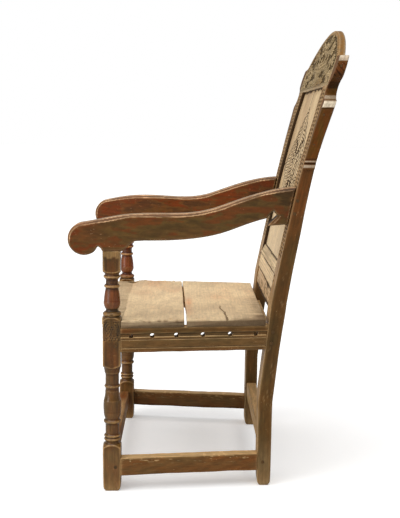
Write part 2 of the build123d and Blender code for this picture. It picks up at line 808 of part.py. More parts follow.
def ear_pins(ear):
    """Left half: the pins that hold an ear, trimmed to its outer surface."""
    pairs = []
    room = ear + box(0, back_outer_x, -far, far, 0, far)
    for height in ear_pin_heights:
        z = ear_foot_z + height
        y = stile_front_at(z) + stile_top_depth / 2
        start = back_outer_x - ear_pin_depth
        pin = rod_x(start, front_width, y, z, ear_pin_radius) & room
        hole = rod_x(start - mortise_spare, front_width, y, z, ear_pin_radius + peg_gap)
        pairs.append((pin, hole))
    return pairs


def seat_pin(x, y):
    """A pin driven down through a seat board into the rail below, and its hole."""
    low = seat_top_z - seat_pin_depth
    pin = rod_z(x, y, low, seat_top_z, seat_pin_radius)
    hole = rod_z(x, y, low - mortise_spare, seat_top_z + overcut, seat_pin_radius + peg_gap)
    return pin, hole


def seat_pins():
    """Left half: the pins of both seat boards."""
    inset = seat_pin_inset / splay_cosine
    pairs = [seat_pin(side_outer_x(y) - inset, y) for y in seat_pin_places]
    pairs.append(seat_pin(front_pin_x, front_leg_front_y + front_rail_thickness / 2))
    return pairs


def both_sides(shapes):
    """The given solids and their mirror images."""
    return Compound(children=[*shapes, *[flipped(shape) for shape in shapes]])


def bored(solid, pairs):
    """A solid with the holes of the given pegs cut out of it."""
    for _, hole in pairs:
        solid = solid - hole
    return solid


# ---------------------------------------------------------------- the chair
ear = ear_blank()
pegs = {
    "seat_rail_pegs": seat_rail_pegs(),
    "stretcher_pegs": stretcher_pegs(),
    "back_pegs": back_pegs(),
    "arm_pegs": arm_pegs(),
    "ear_pins": ear_pins(ear),
    "seat_board_pins": seat_pins(),
}
rail_and_stretcher_pegs = pegs["seat_rail_pegs"] + pegs["stretcher_pegs"]


def front_leg():
    """The left front leg with its mortises and peg holes."""
    leg = leg_blank()
    for member in (side_rail_sizes, side_stretcher_sizes):
        leg = leg - side_tenons(*member, joint_gap, mortise_spare)[0]
    for member in (front_rail_sizes, front_stretcher_sizes):
        leg = leg - front_tenon(*member, joint_gap, mortise_spare)
    return bored(leg, rail_and_stretcher_pegs + pegs["arm_pegs"])


def rear_stile():
    """The left rear stile with its mortises, grooves and peg holes."""
    stile = stile_section(0, back_outer_x, 0, crest_bottom_z) - stile_room
    stile = stile + crest_tenon()
    for member in (side_rail_sizes, side_stretcher_sizes):
        stile = stile - side_tenons(*member, joint_gap, mortise_spare)[1]
    for tenon in rear_tenons(joint_gap, mortise_spare):
        stile = stile - tenon
    stile = stile - lower_board_tongues(joint_gap) - panel_board(panel_gap)
    stile = stile - arm_tenon(joint_gap, mortise_spare)
    pairs = rail_and_stretcher_pegs + pegs["back_pegs"] + pegs["arm_pegs"] + pegs["ear_pins"]
    return bored(stile, pairs)


def side_seat_rail():
    """The left side seat rail with its run-in lines, rope holes, peg and pin holes."""
    rail = side_member(*side_rail_sizes)
    for bottom_z, height, depth in moulding_heights():
        cut = side_moulding(bottom_z, height, depth)
        rail = rail - (cut & box(0, far, front_leg_rear_y, far, 0, far) - behind_stile_front)
    for y in rope_hole_places():
        rail = rail - rope_hole(y)
    return bored(rail, pegs["seat_rail_pegs"] + pegs["seat_board_pins"])


def side_stretcher():
    """The left side stretcher."""
    return bored(side_member(*side_stretcher_sizes), pegs["stretcher_pegs"])


def both_bored(solid, pairs):
    """A member that crosses the chair, with the holes of pegs on both sides."""
    for _, hole in pairs:
        solid = solid - hole - flipped(hole)
    return solid


def front_seat_rail():
    """The front seat rail with its run-in lines."""
    rail = front_member(*front_rail_sizes)
    reach, face = front_inner_x, front_leg_front_y
    for bottom_z, height, depth in moulding_heights():
        rail = rail - box(-reach, reach, face - overcut, face + depth, bottom_z, bottom_z + height)
    return both_bored(rail, pegs["seat_rail_pegs"] + pegs["seat_board_pins"])


def middle_rail():
    """The rail under the panel, bevelled along its top front edge and grooved above."""
    z0, z1 = middle_rail_bottom_z, middle_rail_top_z
    rail = stile_member(0, middle_rail_thickness, z0, z1)
    tenon = rear_tenons()[2]
    line_z0, line_z1 = middle_rail_line_z, middle_rail_line_z + bead_line_height
    line = back_slab(-back_outer_x, back_outer_x, -overcut, bead_line_depth, line_z0, line_z1)
    face_y, past_z = stile_front_at(z1), z1 + overcut
    bevel_outline = Polyline(
        (face_y - middle_rail_bevel, z1 - 2 * middle_rail_bevel),
        (face_y + middle_rail_bevel / 2, past_z),
        (face_y - middle_rail_bevel, past_z),
        close=True,
    )
    bevel = across(bevel_outline, -stile_inner_x, stile_inner_x)
    rail = rail - (line & stile_room) - bevel + tenon - panel_board(panel_gap)
    return both_bored(rail, pegs["back_pegs"])


def crest():
    """The crest with its mortises, groove and holes."""
    solid = crest_blank()
    mortise = crest_tenon(joint_gap, mortise_spare)
    solid = solid - mortise - flipped(mortise) - panel_board(panel_gap)
    return both_bored(solid, pegs["back_pegs"] + pegs["ear_pins"])


left_parts = {
    "front_leg": front_leg(),
    "rear_stile": rear_stile(),
    "side_seat_rail": side_seat_rail(),
    "side_stretcher": side_stretcher(),
    "ear": bored(ear, pegs["ear_pins"]),
}
front_board, rear_board = seat_boards()
rear_rail_body = stile_member(
    rear_rail_set_back, rear_rail_thickness, rear_rail_bottom_z, rear_rail_top_z
)
rear_stretcher_body = stile_member(
    rear_stretcher_set_back, rear_stretcher_thickness, rear_stretcher_bottom_z, rear_stretcher_top_z
)
seat_tenon, stretcher_tenon, _ = rear_tenons()
front_stretcher = front_member(*front_stretcher_sizes)
middle_parts = {
    "front_seat_rail": front_seat_rail(),
    "rear_seat_rail": both_bored(rear_rail_body + seat_tenon, pegs["seat_rail_pegs"]),
    "front_stretcher": both_bored(front_stretcher, pegs["stretcher_pegs"]),
    "rear_stretcher": both_bored(rear_stretcher_body + stretcher_tenon, pegs["stretcher_pegs"]),
    "back_middle_rail": middle_rail(),
    "back_lower_board": lower_board_tongues(),
    "back_panel": panel_board(),
    "crest_rail": crest(),
    "seat_board_front": both_bored(front_board, pegs["seat_board_pins"]),
    "seat_board_rear": both_bored(rear_board, pegs["seat_board_pins"]),
}

os.makedirs("parts", exist_ok=True)
for name, solid in left_parts.items():
    export_step(solid, f"parts/{name}_left.step")
    export_step(flipped(solid), f"parts/{name}_right.step")
for name, solid in middle_parts.items():
    export_step(solid, f"parts/{name}.step")
export_step(arm(), "parts/arm_left.step")
export_step(flipped(arm(right_nose_short, right_top_rise)), "parts/arm_right.step")
for name, pairs in pegs.items():
    export_step(both_sides([peg for peg, _ in pairs]), f"parts/{name}.step")
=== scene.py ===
import bpy
import bmesh
import math
import numpy as np
from mathutils import Matrix, Vector, kdtree


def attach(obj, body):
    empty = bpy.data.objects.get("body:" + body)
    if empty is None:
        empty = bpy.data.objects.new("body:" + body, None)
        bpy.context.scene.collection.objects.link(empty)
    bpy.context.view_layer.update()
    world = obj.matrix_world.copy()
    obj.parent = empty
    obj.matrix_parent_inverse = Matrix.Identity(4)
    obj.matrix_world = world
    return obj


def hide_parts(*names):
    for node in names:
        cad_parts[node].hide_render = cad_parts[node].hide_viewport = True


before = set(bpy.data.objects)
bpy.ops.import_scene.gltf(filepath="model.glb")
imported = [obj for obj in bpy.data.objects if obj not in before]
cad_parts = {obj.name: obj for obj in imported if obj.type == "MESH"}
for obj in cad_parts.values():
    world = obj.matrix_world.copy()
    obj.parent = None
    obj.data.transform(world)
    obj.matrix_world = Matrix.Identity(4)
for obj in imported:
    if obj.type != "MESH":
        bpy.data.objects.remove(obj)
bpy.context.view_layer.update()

# The shapes below are worked out in millimetres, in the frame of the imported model:
# X across the chair (+X the sitter's left), -Y the front, Z up from the floor.
MM = 0.001

# ---- sizes that repeat the solids
LEG_X, LEG_Y, LEG_HALF, CAP_HALF = 283.5, -233.2, 21.5, 20.75
LEG_FRONT_Y, LEG_REAR_Y = -254.7, -211.7
FOOT_TOP, BLOCK_Z0, BLOCK_Z1, CAP_Z = 116.0, 306.0, 430.0, 536.0    # square blocks of a front leg
STILE_X0, STILE_X1, STILE_FOOT_X0, TAPER_TOP = 195.0, 265.0, 208.0, 240.0
RAIL_Z0, RAIL_Z1, SEAT_Z, ARM_Z = 345.0, 405.0, 423.0, 588.0
MIDDLE_Z, EAR_Z = 484.0, 780.0
CREST_Z, TOP_Z, CREST_R = 980.0, 1128.0, 465.0
CREST_MIDDLE_Z = TOP_Z - CREST_R                                     # centre of the arched top
ARM_OUT, ARM_REAR_OUT, ARM_REAR_Y = 304.2, 258.8, 186.0              # outer face of an arm
FRONT = ((122.5, 215.0), (149.0, 462.0), (186.0, 650.0), (317.5, TOP_Z))    # y, z up the front of a stile
DEPTHS = (34.0, 35.4, 32.6, 20.0)                                    # and its depth at each
FRONT_BOW, REAR_BOW = 9.6, 10.0
SPLAY = 40.0 / 334.2                                                 # of the side rails
SPLAY_COS = math.cos(math.atan(SPLAY))
CORD_Z, CORD_STEPS = 385.0, (25.0, 50.5, 57.5, 64.0, 66.0, 62.0)
LINES = ((381.5, 9.5, 2.0), (375.0, 2.4, 1.4), (354.6, 2.6, 1.6))    # run in the seat rails
LOZENGE_X, LOZENGE_Z, PANEL_MIDDLE_Z = 195.0, 161.0, 777.0
PANEL_X, PANEL_Z0, PANEL_Z1 = 203.7, 539.0, 988.7                    # edges of the panel, in its grooves
RAIL_THICK, RAIL_REAR_Y, ARM_THICK, NOTCH_X = 30.0, -226.7, 45.0, 261.4


# ---- numbers
def unit(t):
    """Held between 0 and 1."""
    return np.clip(t, 0, 1)


def smooth(t, low=0.0, high=1.0):
    """A smooth step from 0 at low to 1 at high."""
    t = unit((np.asarray(t, float) - low) / (high - low))
    return t * t * (3 - 2 * t)


def within(t, low, full, fall, high):
    """1 between full and fall, and 0 below low and above high."""
    return smooth(t, low, full) * (1 - smooth(t, fall, high))


def bells(t, *peaks):
    """A sum of bell curves, each a height, a middle and a width."""
    return sum(tall * np.exp(-(((t - middle) / width) ** 2)) for tall, middle, width in peaks)


def xyz(x, y, z):
    return np.stack(np.broadcast_arrays(x, y, z), 1)


def lattice(ix, iy, iz, seed):
    """A repeatable random number, -1 to 1, for each cell of a lattice."""
    n = (ix * 73856093) ^ (iy * 19349663) ^ (iz * 83492791) ^ (seed * 40503 + 12289)
    n = (n ^ (n >> 13)) * 1274126177
    return ((n ^ (n >> 16)) & 0xFFFF) / 32767.5 - 1


def noise(points, size, seed=0):
    """Smooth noise, -1 to 1, with cells of that size in millimetres."""
    p = np.asarray(points, float) / np.asarray(size, float)
    if p.ndim == 1:
        p = xyz(p, 0, 0)
    i = np.floor(p).astype(np.int64)
    f = p - i
    f = f * f * (3 - 2 * f)
    total = 0
    for corner in np.ndindex(2, 2, 2):
        wx, wy, wz = (f[:, k] if step else 1 - f[:, k] for k, step in enumerate(corner))
        total = total + wx * wy * wz * lattice(*(i + corner).T, seed)
    return total


def layered(points, size, seed=0, layers=3):
    """Noise with finer layers on top."""
    return sum(noise(points, np.asarray(size) / 2**k, seed + 17 * k) / 2**k for k in range(layers))


def drift(s, size, seed, layers=1):
    """Noise at one place along a line."""
    return float(layered(np.array([s], float), size, seed, layers)[0])


def arc_y(z, low, high, bow):
    """Y on the arc from low to high that runs ahead of its chord by bow."""
    (ax, az), (cx, cz) = low, high
    bx, bz = (ax + cx) / 2 - bow, (az + cz) / 2
    d = 2 * (ax * (bz - cz) + bx * (cz - az) + cx * (az - bz))
    a2, b2, c2 = ax * ax + az * az, bx * bx + bz * bz, cx * cx + cz * cz
    uy = (a2 * (bz - cz) + b2 * (cz - az) + c2 * (az - bz)) / d
    uz = (a2 * (cx - bx) + b2 * (ax - cx) + c2 * (bx - ax)) / d
    return uy - np.sqrt(np.maximum((ax - uy) ** 2 + (az - uz) ** 2 - (z - uz) ** 2, 0))


def back_y(z, depths=(0, 0, 0, 0), bow=FRONT_BOW):
    """Y of the front of the stiles at a height, or of a surface at four depths behind it."""
    z = np.asarray(z, float)
    (ky, kz), (wy, wz), (sy, sz), (ty, tz) = [(y + d, h) for (y, h), d in zip(FRONT, depths)]
    straight = np.interp(z, [0, kz, wz, sz], [ky, ky, wy, sy])
    return np.where(z > sz, arc_y(z, (sy, sz), (ty, tz), bow), straight)


def rear_y(z):
    """Y of the back of the stiles, a little fuller than its chord at two heights."""
    return back_y(z, DEPTHS, REAR_BOW) + bells(z, (4.5, 925, 70), (2.5, 450, 60))


def side_x(y):
    """X of the outer face of the side rails and stretchers."""
    return 305.0 - SPLAY * (np.asarray(y, float) - LEG_REAR_Y)


# ---- meshes
def rounded(a0, a1, b0, b1, radius, sides, corner=4):
    """A closed outline round a rectangle: points along its sides b0, a1, b1 and a0, and its corners."""
    points = []
    turns = np.linspace(0, math.pi / 2, corner + 2)[1:-1]
    in0, in1, up0, up1 = a0 + radius, a1 - radius, b0 + radius, b1 - radius
    starts = ((in0, b0), (a1, up0), (in1, b1), (a0, up1))
    ends = ((in1, b0), (a1, up1), (in0, b1), (a0, up0))
    middles = ((in1, up0), (in1, up1), (in0, up1), (in0, up0))
    for k, (start, end, count, (ca, cb)) in enumerate(zip(starts, ends, sides, middles)):
        t = np.linspace(0, 1, count)[:, None]
        turn = turns + math.radians(90 * k - 90)
        points += [np.array(start) * (1 - t) + np.array(end) * t,
                   np.stack([ca + radius * np.cos(turn), cb + radius * np.sin(turn)], 1)]
    return np.concatenate(points)


def loft(rings):
    """Points and faces of a closed skin over a stack of closed rings, with its ends filled."""
    rings = np.asarray(rings, float)
    n, m, _ = rings.shape
    points = np.concatenate([rings.reshape(-1, 3), rings[:1].mean(1), rings[-1:].mean(1)])
    i, j = np.meshgrid(np.arange(n - 1), np.arange(m), indexing="ij")
    k = (j + 1) % m
    quads = np.stack([i * m + j, i * m + k, (i + 1) * m + k, (i + 1) * m + j], -1).reshape(-1, 4)
    j, k, last = j[0], k[0], (n - 1) * m
    tris = np.concatenate([xyz(n * m, k, j), xyz(n * m + 1, last + j, last + k)])
    volume = 0
    for corners in (tris, quads[:, :3], quads[:, [0, 2, 3]]):
        a, b, c = (points[corners[:, s]] for s in range(3))
        volume += np.einsum("ij,ij->i", a, np.cross(b, c)).sum()
    faces = quads.tolist() + tris.tolist()
    return points, faces if volume >= 0 else [f[::-1] for f in faces]


def capped(values):
    """One value for each point of a loft, 0 at the middles of its two ends."""
    return np.r_[np.ravel(values), 0, 0]


def on_side(side, points, faces):
    """A skin made for the left, mirrored for the right."""
    return (points, faces) if side == "left" else (points * (-1, 1, 1), [f[::-1] for f in faces])


def mesh_of(name, points, faces):
    """A Blender mesh from points in millimetres."""
    mesh = bpy.data.meshes.new(name)
    mesh.from_pydata((np.asarray(points) * MM).tolist(), [], faces)
    mesh.update()
    return mesh


def read(items, key, width, kind=np.float32):
    values = np.zeros(len(items) * width, kind)
    items.foreach_get(key, values)
    return values.reshape(-1, width)


def points_of(mesh):
    """The mesh's points, in millimetres."""
    return read(mesh.vertices, "co", 3).astype(float) / MM


def normals_of(mesh):
    return read(mesh.vertices, "normal", 3).astype(float)


def set_points(mesh, points):
    mesh.vertices.foreach_set("co", (points * MM).astype(np.float32).ravel())
    mesh.update()


def bend(mesh):
    """How far each point stands out of (above 0) or lies in (below 0) the surface round it."""
    co, no = points_of(mesh), normals_of(mesh)
    a, b = read(mesh.edges, "vertices", 2, np.int32).T
    count = len(co)
    step = co[b] - co[a]
    step /= np.maximum(np.linalg.norm(step, axis=1), 1e-6)[:, None]
    degree = np.maximum(np.bincount(np.r_[a, b], minlength=count), 1)
    out = np.bincount(a, -np.einsum("ij,ij->i", no[a], step), count)
    out += np.bincount(b, np.einsum("ij,ij->i", no[b], step), count)
    out /= degree
    for _ in range(2):
        out = 0.4 * out + 0.6 * (np.bincount(a, out[b], count) + np.bincount(b, out[a], count)) / degree
    return out


def placed(name, data):
    """A new object in the scene."""
    made = bpy.data.objects.new(name, data)
    bpy.context.scene.collection.objects.link(made)
    return made


def evaluated(mesh, *modifiers):
    """A new mesh: the given one after modifiers, each a type and its settings."""
    helper = placed("helper", mesh)
    for kind, settings in modifiers:
        modifier = helper.modifiers.new(kind.lower(), kind)
        for key, value in settings.items():
            setattr(modifier, key, value)
    graph = bpy.context.evaluated_depsgraph_get()
    made = bpy.data.meshes.new_from_object(helper.evaluated_get(graph), depsgraph=graph)
    bpy.data.objects.remove(helper)
    return made


def from_bmesh(name, bm):
    mesh = bpy.data.meshes.new(name)
    bm.to_mesh(mesh)
    bm.free()
    return mesh


def add_rod(bm, start, end, radius, segments=24):
    """A closed rod in a bmesh, from start to end in millimetres."""
    a, b = Vector(start) * MM, Vector(end) * MM
    turn = (b - a).to_track_quat("Z", "Y").to_matrix().to_4x4()
    bmesh.ops.create_cone(bm, cap_ends=True, segments=segments, radius1=radius * MM, radius2=radius * MM,
                          depth=(b - a).length, matrix=Matrix.Translation((a + b) / 2) @ turn)


def remeshed(node, voxel, rounds, rods=(), blocks=()):
    """A copy of a node's solid with peg holes and mortises filled and its arrises rubbed round."""
    bm = bmesh.new()
    bm.from_mesh(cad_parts[node].data)
    bmesh.ops.remove_doubles(bm, verts=bm.verts, dist=1e-6)
    for rod in rods:
        add_rod(bm, *rod)
    for low, high in blocks:
        low, high = Vector(low) * MM, Vector(high) * MM
        matrix = Matrix.Translation((low + high) / 2) @ Matrix.Diagonal((*(high - low), 1))
        bmesh.ops.create_cube(bm, size=1, matrix=matrix)
    return evaluated(from_bmesh("filled", bm), ("REMESH", {"mode": "VOXEL", "voxel_size": voxel}),
                     ("SMOOTH", {"factor": 0.5, "iterations": rounds}))


# ---- pieces
GRAIN = {"x": (1, 2, 0), "y": (0, 2, 1), "z": (0, 1, 2)}    # the grain runs along the last


def dress(name, skin, material, node, grain, seed, wobble, shade_and_grime=0.0, pale=0.0, lean=False, wear_and_highlight=1.0, sharp=None):
    """Makes a skin, or a mesh, a piece: uneven surface, wood coordinates, wear and painted highlights on arrises,
    grime and painted shade in hollows, material and CAD node.
    """
    mesh = mesh_of(name, *skin) if isinstance(skin, tuple) else skin
    stretch = [wobble[1]] * 3
    stretch["xyz".index(grain)] *= 2.2
    co = points_of(mesh)
    co = co + normals_of(mesh) * (wobble[0] * layered(co, stretch, seed))[:, None]
    set_points(mesh, co)
    wood = co.copy()
    if lean:
        wood[:, 1] -= back_y(co[:, 2])
    wood = wood[:, GRAIN[grain]] * MM + lattice(seed * np.arange(1, 4), seed, 7, 3) * 5.0
    curve = bend(mesh)
    # Hollows are darkened, partly grime and partly painted shade; ridges and arrises are paled, partly wear and
    # partly painted highlight.
    deep = unit(unit(-curve * 2.4) + shade_and_grime)
    tone = xyz(deep, unit(curve * 3.2 * wear_and_highlight), np.clip(pale, -1, 1))
    for key, values in (("wood", wood), ("tone", tone)):
        attribute = mesh.attributes.new(key, "FLOAT_VECTOR", "POINT")
        attribute.data.foreach_set("vector", values.astype(np.float32).ravel())
    mesh.polygons.foreach_set("use_smooth", [True] * len(mesh.polygons))
    if sharp:
        mesh.set_sharp_from_angle(angle=math.radians(sharp))
    mesh.materials.clear()
    mesh.materials.append(material)
    piece = placed(name, mesh)
    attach(piece, "root")
    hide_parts(node)


# ---- materials
def linear(rgb):
    """Linear colour from 0-255 values as they look."""
    return tuple(c / 3294.6 if c <= 10.3 else ((c / 255 + 0.055) / 1.055) ** 2.4 for c in rgb) + (1.0,)


class Nodes:
    """Short ways to add and join shader nodes in a material or a world."""

    def __init__(self, owner):
        owner.use_nodes = True
        self.owner, self.tree = owner, owner.node_tree
        self.tree.nodes.clear()

    def add(self, kind, inputs=None, **settings):
        node = self.tree.nodes.new("ShaderNode" + kind)
        for key, value in settings.items():
            setattr(node, key, value)
        for key, value in (inputs or {}).items():
            if isinstance(value, bpy.types.NodeSocket):
                self.tree.links.new(value, node.inputs[key])
            else:
                node.inputs[key].default_value = value
        return node

    def math(self, operation, *values, clamp=False):
        return self.add("Math", dict(enumerate(values)), operation=operation, use_clamp=clamp).outputs[0]

    def times(self, first, *others):
        for other in others:
            first = self.math("MULTIPLY", first, other)
        return first

    def scaled(self, vector, stretch):
        return self.add("VectorMath", {0: vector, 1: stretch}, operation="MULTIPLY").outputs[0]

    def mix(self, factor, a, b, blend="MIX"):
        return self.add("Mix", {0: factor, 6: a, 7: b}, data_type="RGBA", blend_type=blend).outputs[2]

    def band(self, value, low, high, to_low=0.0, to_high=1.0):
        inputs = {"Value": value, "From Min": low, "From Max": high, "To Min": to_low, "To Max": to_high}
        return self.add("MapRange", inputs, interpolation_type="SMOOTHSTEP").outputs[0]

    def noise(self, vector, across, along, detail=1.0, rough=0.5):
        """Noise with cells finer across the grain than along it."""
        inputs = {"Vector": self.scaled(vector, (across, across, along)), "Scale": 1.0, "Detail": detail,
                  "Roughness": rough}
        return self.add("TexNoise", inputs).outputs["Fac"]


def oak(name, slot, dark, warm, pale, shade_and_grime_color, red=(128, 60, 26), rough=(0.42, 0.62), painted_face_light=0.0, edge=0.5,
        streak=0.25, gloss=0.25, bump=0.25, coat=0.0, freckle=0.3, rings=0.12, shade_and_grime_weight=0.8, mottling=0.16):
    """Old oak: blotches, growth rings, streaks and pores along the grain; pale arrises, partly wear and partly
    painted highlight; dark hollows, partly grime and partly painted shade; faces that look forward, back or up
    painted lighter, as painted light.
    """
    n = Nodes(bpy.data.materials.new(name))
    if slot:
        place = n.add("Attribute", attribute_name="wood").outputs["Vector"]
        tone = n.add("Attribute", attribute_name="tone").outputs["Vector"]
        shade_and_grime, out, extra = n.add("SeparateXYZ", {0: tone}).outputs
    else:
        place = n.add("TexCoord").outputs["Object"]
        shade_and_grime, out, extra = (n.math("ADD", 0.0, 0.0) for _ in range(3))
    blotch = n.noise(place, 22, 9, 4, 0.62)
    mottle = n.noise(place, 120, 40, 3, 0.6)
    streaks = n.noise(place, 260, 6, 3, 0.65)
    fine = n.noise(place, 900, 24, 2, 0.6)
    pores = n.band(n.noise(place, 1500, 60), 0.62, 0.72)
    waves = {"Vector": n.scaled(place, (1.0, 1.0, 0.06)), "Scale": 42.0, "Distortion": 7.0, "Detail": 3.0,
             "Detail Scale": 0.8}
    ring = n.add("TexWave", waves, wave_type="RINGS", rings_direction="Z").outputs["Fac"]
    color = n.mix(n.band(blotch, 0.36, 0.64), linear(dark), linear(warm))
    flush = n.band(n.noise(place, 7, 2.6, 2), 0.52, 0.7, 0.0, 0.55)
    stain = n.math("MAXIMUM", n.times(extra, -1.0), flush)
    color = n.mix(n.times(stain, n.band(mottle, 0.25, 0.6, 0.6, 1.0)), color, linear(red))
    shade = n.times(n.math("MULTIPLY_ADD", n.band(streaks, 0.3, 0.7), streak, 1.0 - streak * 0.5),
                    n.band(ring, 0.1, 0.9, 1.0 - rings * 0.5, 1.0 + rings * 0.5),
                    n.math("MULTIPLY_ADD", pores, -0.25, 1.03),
                    n.math("MULTIPLY_ADD", fine, 0.3, 0.85),
                    n.band(mottle, 0.25, 0.75, 1.0 - mottling, 1.0 + mottling))
    # Faces that look forward, back or up are painted lighter, painted light from the front and above, apart from
    # where they are stained.
    normal = n.add("SeparateXYZ", {0: n.add("NewGeometry").outputs["Normal"]}).outputs
    across = n.math("MAXIMUM", n.math("ABSOLUTE", normal[1]), normal[2])
    unstained = n.math("ADD", 1.0, n.math("MINIMUM", extra, 0.0), clamp=True)
    lit = n.times(n.band(across, 0.7, 0.95), painted_face_light, unstained)
    mask = n.math("ADD", lit, n.math("MAXIMUM", extra, 0.0), clamp=True)
    # Arrises turn pale: partly wear, partly painted highlight.
    edge_tone = n.times(out, edge, n.band(blotch, 0.3, 0.6, 0.35, 1.0))
    mask = n.math("MAXIMUM", mask, edge_tone, clamp=True)
    color = n.mix(n.times(mask, n.band(streaks, 0.2, 0.6, 0.78, 1.0)), color, linear(pale))
    dots = n.times(n.band(n.noise(place, 420, 160), 0.7, 0.76), freckle, n.band(blotch, 0.45, 0.65))
    color = n.mix(dots, color, linear(pale))
    color = n.mix(1.0, color, n.add("CombineColor", {k: shade for k in range(3)}).outputs[0], "MULTIPLY")
    # Darkened towards the fourth colour where the tone says so: grime, and painted shade in hollows, under parts and
    # in corners.
    color = n.mix(n.times(n.band(shade_and_grime, 0.05, 0.9), shade_and_grime_weight), color, linear(shade_and_grime_color))
    roughness = n.math("MULTIPLY_ADD", shade_and_grime, 0.25, n.band(blotch, 0.3, 0.7, *rough), clamp=True)
    height = n.math("SUBTRACT", n.math("ADD", n.times(streaks, 0.6), n.times(fine, 0.4)), n.times(pores, 0.5))
    raised = n.add("Bump", {"Strength": bump, "Distance": 0.0006, "Height": height}).outputs[0]
    surface = {"Base Color": color, "Roughness": roughness, "Normal": raised, "Specular IOR Level": gloss,
               "Coat Weight": coat, "Coat Roughness": 0.2}
    n.add("OutputMaterial", {"Surface": n.add("BsdfPrincipled", surface).outputs[0]})
    return n.owner


# In each oak the pale colour serves worn arrises and freckles, and painted light: faces turned forward, back or up,
# and painted highlights. The arms' and ears' pale colours are mostly painted highlights. The fourth colour serves
# grime and painted shade.
frame_oak = oak("frame_oak", "oak_frame", (86, 65, 33), (101, 69, 32), (214, 176, 124), (30, 20, 12),
                (110, 60, 22), (0.38, 0.56), painted_face_light=0.66, edge=0.7, freckle=0.5, gloss=0.15)
low_oak = oak("low_oak", "oak_frame", (110, 82, 46), (116, 76, 38), (224, 184, 128), (34, 22, 13),
              (126, 72, 30), (0.38, 0.56), painted_face_light=0.75, edge=0.6, freckle=0.4, gloss=0.15)
leg_oak = oak("leg_oak", "oak_frame", (80, 56, 20), (101, 58, 17), (218, 173, 112), (16, 10, 6),
              (112, 46, 15), (0.18, 0.3), painted_face_light=0.06, edge=0.75, gloss=0.3, coat=0.08, freckle=0.4)
arm_oak = oak("arm_oak", "oak_arm", (97, 72, 34), (104, 71, 34), (250, 200, 150), (26, 15, 8), (112, 52, 16),
              (0.22, 0.36), edge=0.35, painted_face_light=0.1, coat=0.04, streak=0.12, freckle=0.4, gloss=0.18)
ear_oak = oak("ear_oak", "oak_carved", (98, 68, 22), (108, 64, 20), (250, 232, 202), (28, 17, 9),
              (110, 52, 15), (0.36, 0.5), edge=0.08, streak=0.15, gloss=0.12)
seat_oak = oak("seat_oak", "oak_seat", (214, 187, 148), (232, 205, 163), (244, 220, 178), (72, 43, 13),
               (222, 166, 120), (0.42, 0.56), edge=0.3, streak=0.08, freckle=0.0, gloss=0.14, bump=0.28,
               rings=0.04, mottling=0.1)
carved_oak = oak("carved_oak", "oak_carved", (206, 176, 134), (224, 196, 152), (240, 218, 180), (54, 35, 17),
                 (180, 144, 106), (0.42, 0.6), gloss=0.15, edge=0.9, streak=0.3, freckle=0.0, rings=0.2,
                 mottling=0.1, shade_and_grime_weight=0.97)
crest_oak = oak("crest_oak", "oak_carved", (142, 120, 82), (164, 138, 96), (240, 216, 176), (58, 42, 20),
                (134, 91, 30), (0.36, 0.55), gloss=0.12, edge=0.6, freckle=0.0, shade_and_grime_weight=0.95)
pin_oak = oak("pin_oak", None, (196, 168, 128), (206, 178, 136), (240, 216, 182), (62, 44, 27), freckle=0.0)
peg_oak = oak("peg_oak", None, (82, 60, 31), (94, 65, 32), (140, 108, 74), (26, 19, 13), freckle=0.2)


# ---- carving
def stroke(points, widths, height=1.0):
    """A carved rib along points, with a half width at each."""
    return np.asarray(points, float), np.broadcast_to(np.asarray(widths, float), len(points)), height


def curl(cx, cz, r0, r1, a0, a1, w0, w1, count=46):
    """A spiral rib round a centre, from radius r0 at angle a0 to r1 at a1, in degrees."""
    a, r = np.radians(np.linspace(a0, a1, count)), np.linspace(r0, r1, count)
    return stroke(np.stack([cx + r * np.cos(a), cz + r * np.sin(a)], 1), np.linspace(w0, w1, count))


def walk(start, turns, step):
    """Points reached by steps in the directions turns."""
    return np.stack([start[0] + np.cumsum(np.cos(turns)) * step, start[1] + np.cumsum(np.sin(turns)) * step], 1)


def leaf(x, z, angle, length, width, lobes=4, sway=0.0):
    """A carved leaf: a rib with curved lobes on both sides and a pointed tip."""
    t = np.linspace(0, 1, 24)
    turn = math.radians(angle) + np.radians(sway) * t
    rib = walk((x, z), turn, length / 23)
    ribs = [stroke(rib, 0.11 * width * (1.1 - t) + 0.9)]
    for k in range(lobes):
        share = (k + 0.4) / (lobes + 0.6)
        at = int(share * 23)
        reach = width * 0.62 * math.sin(math.pi * (0.25 + 0.65 * share)) + 1
        swell = np.sin(np.linspace(0.35, math.pi - 0.15, 12))
        for way in (-1, 1):
            lobe = walk(rib[at], turn[at] + way * np.radians(np.linspace(62, 18, 12)), reach / 11)
            ribs.append(stroke(lobe, 0.17 * width * swell + 0.7, 0.95))
    return ribs


def leaves(*rows):
    return [rib for row in rows for rib in leaf(*row)]


def mirrored(strokes, flip):
    return strokes + [(points * flip, widths, height) for points, widths, height in strokes]


def relief_of(x, z, strokes):
    """How high the carving stands at each point, 0 on the ground to 1."""
    out = np.zeros(len(x))
    for points, widths, height in strokes:
        reach = widths.max()
        low, high = points.min(0) - reach, points.max(0) + reach
        near = np.nonzero((x > low[0]) & (x < high[0]) & (z > low[1]) & (z < high[1]))[0]
        if not len(near):
            continue
        px, pz, best = x[near], z[near], np.zeros(len(near))
        for (cx, cz), w in zip(points, widths):
            d = ((px - cx) ** 2 + (pz - cz) ** 2) / (w * w)
            best = np.maximum(best, np.sqrt(unit(1 - d)) * height)
        out[near] = np.maximum(out[near], best)
    return out


def groove(distance, width, depth):
    """A cut of rounded section along distance 0."""
    return -depth * np.sqrt(unit(1 - (distance / (width / 2)) ** 2))


def repeat(t, pitch):
    """Distance from the nearest of lines a pitch apart."""
    return (t + 500.0) % pitch - pitch / 2


